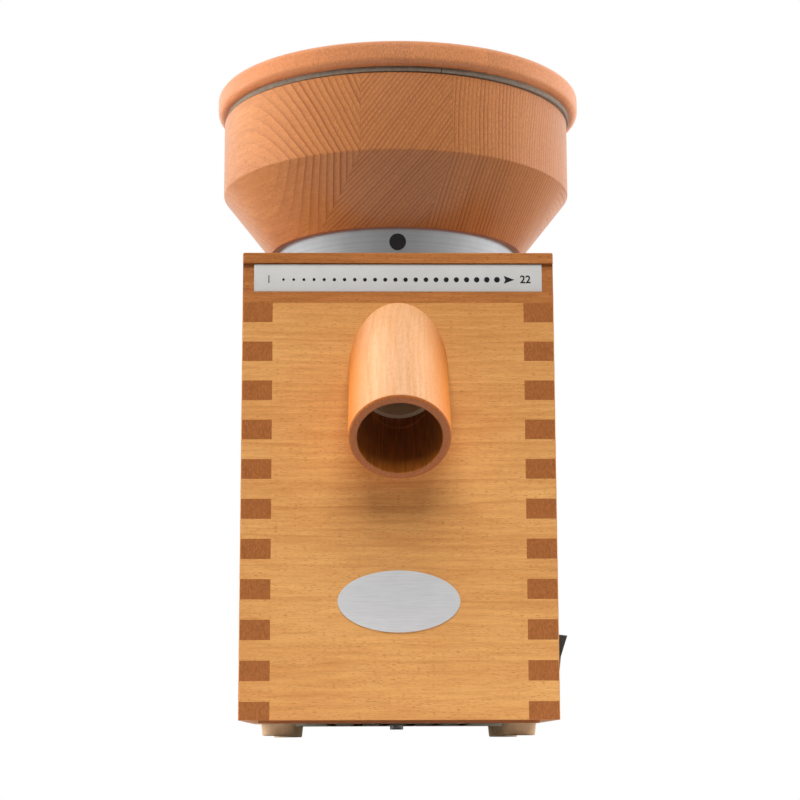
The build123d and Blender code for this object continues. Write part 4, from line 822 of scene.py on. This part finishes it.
# ---- Scale strip -------------------------------------------------------------------------
# A strip of matt anodised aluminium glued into the groove, with a printed scale: a row of
# dots that grow from left to right, an arrowhead, and a number at each end.
DOT_COUNT, DOT_FIRST, DOT_PITCH = 22, -0.05683, 0.005044
DOT_LEAST, DOT_MOST, DOT_DROP = 0.00062, 0.00142, 0.0009
STRIP_EDGE, PRINT_THICK = 0.0002, 0.00008
NUMBER_SIZE, NUMBER_BOLD, FIRST_NUMBER_AT, LAST_NUMBER_AT = 0.0054, 0.00010, -0.0641, 0.0632

satin = matter("satin aluminium", tone(224, 224, 221), tone(207, 207, 205), (60,) * 3, metal=0.15,
               rough=(0.5, 0.65), relief=0.1, fine=(2400,) * 3, share=0.7)
ink = matter("ink", tone(24, 24, 26), tone(14, 14, 16), (400,) * 3, rough=(0.6, 0.7))
grey_ink = matter("grey ink", tone(140, 140, 142), tone(116, 116, 118), (400,) * 3, rough=(0.5, 0.6))

low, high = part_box("scale_strip")
corners = [(low.x, low.z), (high.x, low.z), (high.x, high.z), (low.x, high.z)]
placed("scale_strip_sheet", prism("scale_strip_sheet", corners, low.y, high.y, STRIP_EDGE), satin, "housing",
       "scale_strip", slot="aluminium")
print_face = Vector((AXIS.x, low.y, (low.z + high.z) / 2 - DOT_DROP))

dots, feeds = new_tree("growing dots", Count="Int", First="Vector", Pitch="Float", Least="Float",
                       Growth="Float", Thick="Float", Finish="Material")
row = add(dots, "GeometryNodeMeshLine", feeds["Count"], None, feeds["First"],
          add(dots, "ShaderNodeCombineXYZ", feeds["Pitch"]))
radius = sums(dots, "MULTIPLY_ADD", add(dots, "GeometryNodeInputIndex"), feeds["Growth"], feeds["Least"])
disc = add(dots, "GeometryNodeMeshCylinder", 28, 1, 1, 1.0, 1.0)
size = add(dots, "ShaderNodeCombineXYZ", radius, radius, feeds["Thick"])
row = add(dots, "GeometryNodeInstanceOnPoints", row, None, disc, None, None, (math.pi / 2, 0, 0), size)
close_tree(dots, row, feeds["Finish"])
dot_growth = (DOT_MOST - DOT_LEAST) / (DOT_COUNT - 1)
scale_dots = grown("scale_dots", dots, bpy.data.meshes.new("dot base"), Count=DOT_COUNT, Pitch=DOT_PITCH,
                   First=tuple(print_face + Vector((DOT_FIRST, 0, 0))), Least=DOT_LEAST, Growth=dot_growth,
                   Thick=2 * PRINT_THICK, Finish=ink)
placed("scale_dots", scale_dots, ink, "housing")

ARROW_FROM, ARROW_TO, ARROW_HALF, ARROW_NOTCH = 0.0524, 0.0577, 0.0020, 0.0009
arrow = [(ARROW_TO, 0), (ARROW_FROM, ARROW_HALF), (ARROW_FROM + ARROW_NOTCH, 0), (ARROW_FROM, -ARROW_HALF)]
arrow = [(print_face.x + x, print_face.z + z) for x, z in arrow]
arrow_mesh = prism("scale_arrow", arrow, print_face.y - PRINT_THICK, print_face.y + PRINT_THICK)
placed("scale_arrow", arrow_mesh, ink, "housing")

for name, words, across, colour in (
    ("scale_number_fine", "1", FIRST_NUMBER_AT, grey_ink),
    ("scale_number_coarse", str(DOT_COUNT), LAST_NUMBER_AT, ink),
):
    text = bpy.data.curves.new(name, "FONT")
    text.body = words
    text.size = NUMBER_SIZE
    text.align_x, text.align_y = "CENTER", "CENTER"
    text.extrude = PRINT_THICK
    text.offset = NUMBER_BOLD
    number = settled(bpy.data.objects.new(name, text))
    number.transform(Matrix.Translation(print_face + Vector((across, 0, 0))) @ QUARTER_TURN)
    placed(name, number, colour, "housing")

# ---- Name plate --------------------------------------------------------------------------
# A bare oval of brushed aluminium with an eased edge, cut from sheet and glued to the front
# board.
OVAL_STEPS, OVAL_EDGE = 96, 0.00025

low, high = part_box("name_plate")
middle = (low + high) / 2
half = (high - low) / 2
turns = [math.tau * i / OVAL_STEPS for i in range(OVAL_STEPS)]
oval = [(middle.x + half.x * math.cos(turn), middle.z + half.z * math.sin(turn)) for turn in turns]
brushed_plate = matter("brushed plate", tone(228, 229, 230), tone(210, 211, 213), (20, 20, 60), metal=0.3,
                       rough=(0.4, 0.55), relief=0.12, fine=(90, 90, 3200), share=0.7)
placed("oval_plate", prism("oval_plate", oval, low.y, high.y, OVAL_EDGE), brushed_plate, "housing",
       "name_plate", slot="aluminium")

# ---- Hopper ring, pointer and stone holder -----------------------------------------------
# The turned aluminium ring under the hopper has a black plug that points at the scale.  Six
# screws hold the ring and the ivory plastic stone holder to the hopper.
dress(turned("turned aluminium", tone(214, 215, 216), tone(192, 193, 195), rough=(0.28, 0.36),
             lines=(1400, 1400), relief=0.03, share=0.6), "hopper_ring")
dress(black_plastic, "pointer_plug")
dress(ivory, "stone_holder")
screws("hopper_screws", "hopper", False, SCREW_R, SCREW_HEAD_R, seed=11)

# ---- Hopper ------------------------------------------------------------------------------
# Five beech boards glued side by side and turned: a cone below, an upright wall above and a
# funnel bowl inside.
HOPPER_R, CONE_BASE_R, CONE_HEIGHT, HOPPER_WALL = 0.0923, 0.0668, 0.0325, 0.0083
FEED_R, THROAT_LIP, BOWL_SLOPE = 0.018, 0.005, 30
CREASE_ROUND, RIM_ROUND = 0.002, 0.0012

hopper_low, hopper_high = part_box("hopper")
base, rim = hopper_low.z, hopper_high.z
crease = base + CONE_HEIGHT
inner = HOPPER_R - HOPPER_WALL
lip = base + THROAT_LIP
bowl_top = lip + (inner - FEED_R) * math.tan(math.radians(BOWL_SLOPE))
outline = rounded([
    (FEED_R, base, 0), (CONE_BASE_R, base, 0.0004), (HOPPER_R, crease, CREASE_ROUND),
    (HOPPER_R, rim, RIM_ROUND), (inner, rim, RIM_ROUND), (inner, bowl_top, CREASE_ROUND),
    (FEED_R, lip, 0.001),
])
hopper_boards = [
    (0, 330, 438, 2.1, 0.0), (-61.5, 262, 105, 1.8, 0.05), (-20.5, 350, 292, 2.25, 0.0),
    (20.5, 310, 270, 2.0, 0.0), (61.5, 60, 520, 2.2, -0.05),
]
hopper_wood = beech("hopper wood", (0.5, -math.sqrt(0.75), 0), tone(217, 146, 88), tone(178, 108, 57),
                    tone(203, 130, 73), hopper_boards, centre=AXIS, ends_from=0.1, lines=1.3, sway=2.5,
                    flecks=0.5, lengthways=0.25, shine=0.5, wax=0.4)
placed("hopper_bowl", lathe("hopper_bowl", outline, AXIS), hopper_wood, "hopper", "hopper", slot="beech")

# ---- Lid ---------------------------------------------------------------------------------
# Five narrow beech boards glued side by side and turned, with a rounded edge and a disc below
# that centres the lid in the hopper.
LID_R, LID_THICK, LID_ROUND, LID_SPIGOT_R = 0.09695, 0.0125, 0.0036, 0.0825

lid_low, lid_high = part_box("lid")
lid_centre = (lid_low + lid_high) / 2
lid_bottom = lid_high.z - LID_THICK
outline = rounded([
    (0, lid_low.z, 0), (LID_SPIGOT_R, lid_low.z, 0.0008), (LID_SPIGOT_R, lid_bottom, 0),
    (LID_R, lid_bottom, LID_ROUND), (LID_R, lid_high.z, LID_ROUND), (0, lid_high.z, 0),
])
lid_boards = [
    (0, -60, 260, 2.4, 0.0), (-65, -30, 430, 2.0, 0.10), (-24.5, 90, 380, 1.6, -0.05),
    (16.5, 60, 240, 1.9, 0.08), (57.5, 160, 300, 2.2, 0.0),
]
lid_wood = beech("lid wood", (0.309, -0.951, 0), tone(241, 160, 103), tone(202, 122, 73), tone(226, 146, 92),
                 lid_boards, centre=AXIS, ends_from=0.1, lines=0.10, sway=4.0, flecks=0.6, shine=0.5,
                 wax=0.5)
placed("lid_board", lathe("lid_board", outline, lid_centre), lid_wood, "lid", "lid", slot="beech")

# ---- Lid felt ----------------------------------------------------------------------------
# A strip of wool felt glued under the lid's edge, so that it sits tight.  Its two ends meet in
# a butt joint near the front, and short fibres stand out of its outer side.
FELT_IN_R, FELT_OUT_R, FELT_ROUND = 0.0826, 0.0923, 0.0004
FELT_SEAM_TURN, FELT_SEAM, FELT_WAVES = math.radians(-77.2), 0.0004, 0.00012
FELT_LUMPS, FELT_LUMPS_UP, FELT_STEPS = 700, 900, 240
FIBRE_R, FIBRE_LONG, FIBRES_PER_M2 = 0.00002, 0.0005, 2.2e6
FIBRE_LEAN, FIBRE_TURN, FIBRE_FACE_TILT = 1.2, 6.28, 0.3

felt_low, felt_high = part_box("lid_felt")
section = rounded([
    (FELT_IN_R, felt_low.z, FELT_ROUND), (FELT_OUT_R, felt_low.z, FELT_ROUND),
    (FELT_OUT_R, felt_high.z, FELT_ROUND / 2), (FELT_IN_R, felt_high.z, 0),
], 3)
half_seam = FELT_SEAM / 2 / FELT_OUT_R
shape = bmesh.new()
columns = []
for i in range(FELT_STEPS + 1):
    angle = FELT_SEAM_TURN + half_seam + (math.tau - 2 * half_seam) * i / FELT_STEPS
    way = Vector((math.cos(angle), math.sin(angle), 0))
    column = []
    for r, z in section:
        lump = noise.noise(Vector((FELT_LUMPS * r * way.x, FELT_LUMPS * r * way.y, FELT_LUMPS_UP * z)))
        free = min(1.0, (felt_high.z - z) / FELT_ROUND)
        place = lid_centre + way * (r - FELT_WAVES * (0.5 + 0.5 * lump) * free)
        column.append(shape.verts.new((place.x, place.y, z)))
    columns.append(column)
skinned(shape, columns)
shape.faces.new(columns[0])
shape.faces.new(columns[-1])
felt_strip = from_bmesh("felt_strip", shape)

fuzz, feeds = new_tree("felt fuzz", Thick="Float", Long="Float", Density="Float", Seed="Int",
                       Finish="Material")
facing = add(fuzz, "ShaderNodeSeparateXYZ", add(fuzz, "GeometryNodeInputNormal"), out=2)
tilt = sums(fuzz, "ABSOLUTE", facing)
upright = add(fuzz, "FunctionNodeCompare", tilt, FIBRE_FACE_TILT, operation="LESS_THAN")
points = add(fuzz, "GeometryNodeDistributePointsOnFaces", feeds["Base"], upright, None, None,
             feeds["Density"], None, feeds["Seed"])
fibre = add(fuzz, "GeometryNodeMeshCone", 3, 1, 1, 0.0, feeds["Thick"], feeds["Long"])
lean = add(fuzz, "FunctionNodeRandomValue", (-FIBRE_LEAN, -FIBRE_LEAN, 0),
           (FIBRE_LEAN, FIBRE_LEAN, FIBRE_TURN), *[None] * 6, feeds["Seed"], data_type="FLOAT_VECTOR")
upward = points.node.outputs["Rotation"]
stance = add(fuzz, "FunctionNodeRotateRotation", upward, lean, rotation_space="LOCAL")
fibres = add(fuzz, "GeometryNodeInstanceOnPoints", points, None, fibre, None, None, stance)
joined = fuzz.nodes.new("GeometryNodeJoinGeometry")
for part in (feeds["Base"], fibres):
    fuzz.links.new(part, joined.inputs[0])
close_tree(fuzz, joined.outputs[0], feeds["Finish"])
felt_mesh = grown("felt_strip", fuzz, felt_strip, Thick=FIBRE_R, Long=FIBRE_LONG, Density=FIBRES_PER_M2,
                  Seed=4, Finish=felt)
placed("felt_strip", felt_mesh, felt, "lid", "lid_felt", slot="felt")
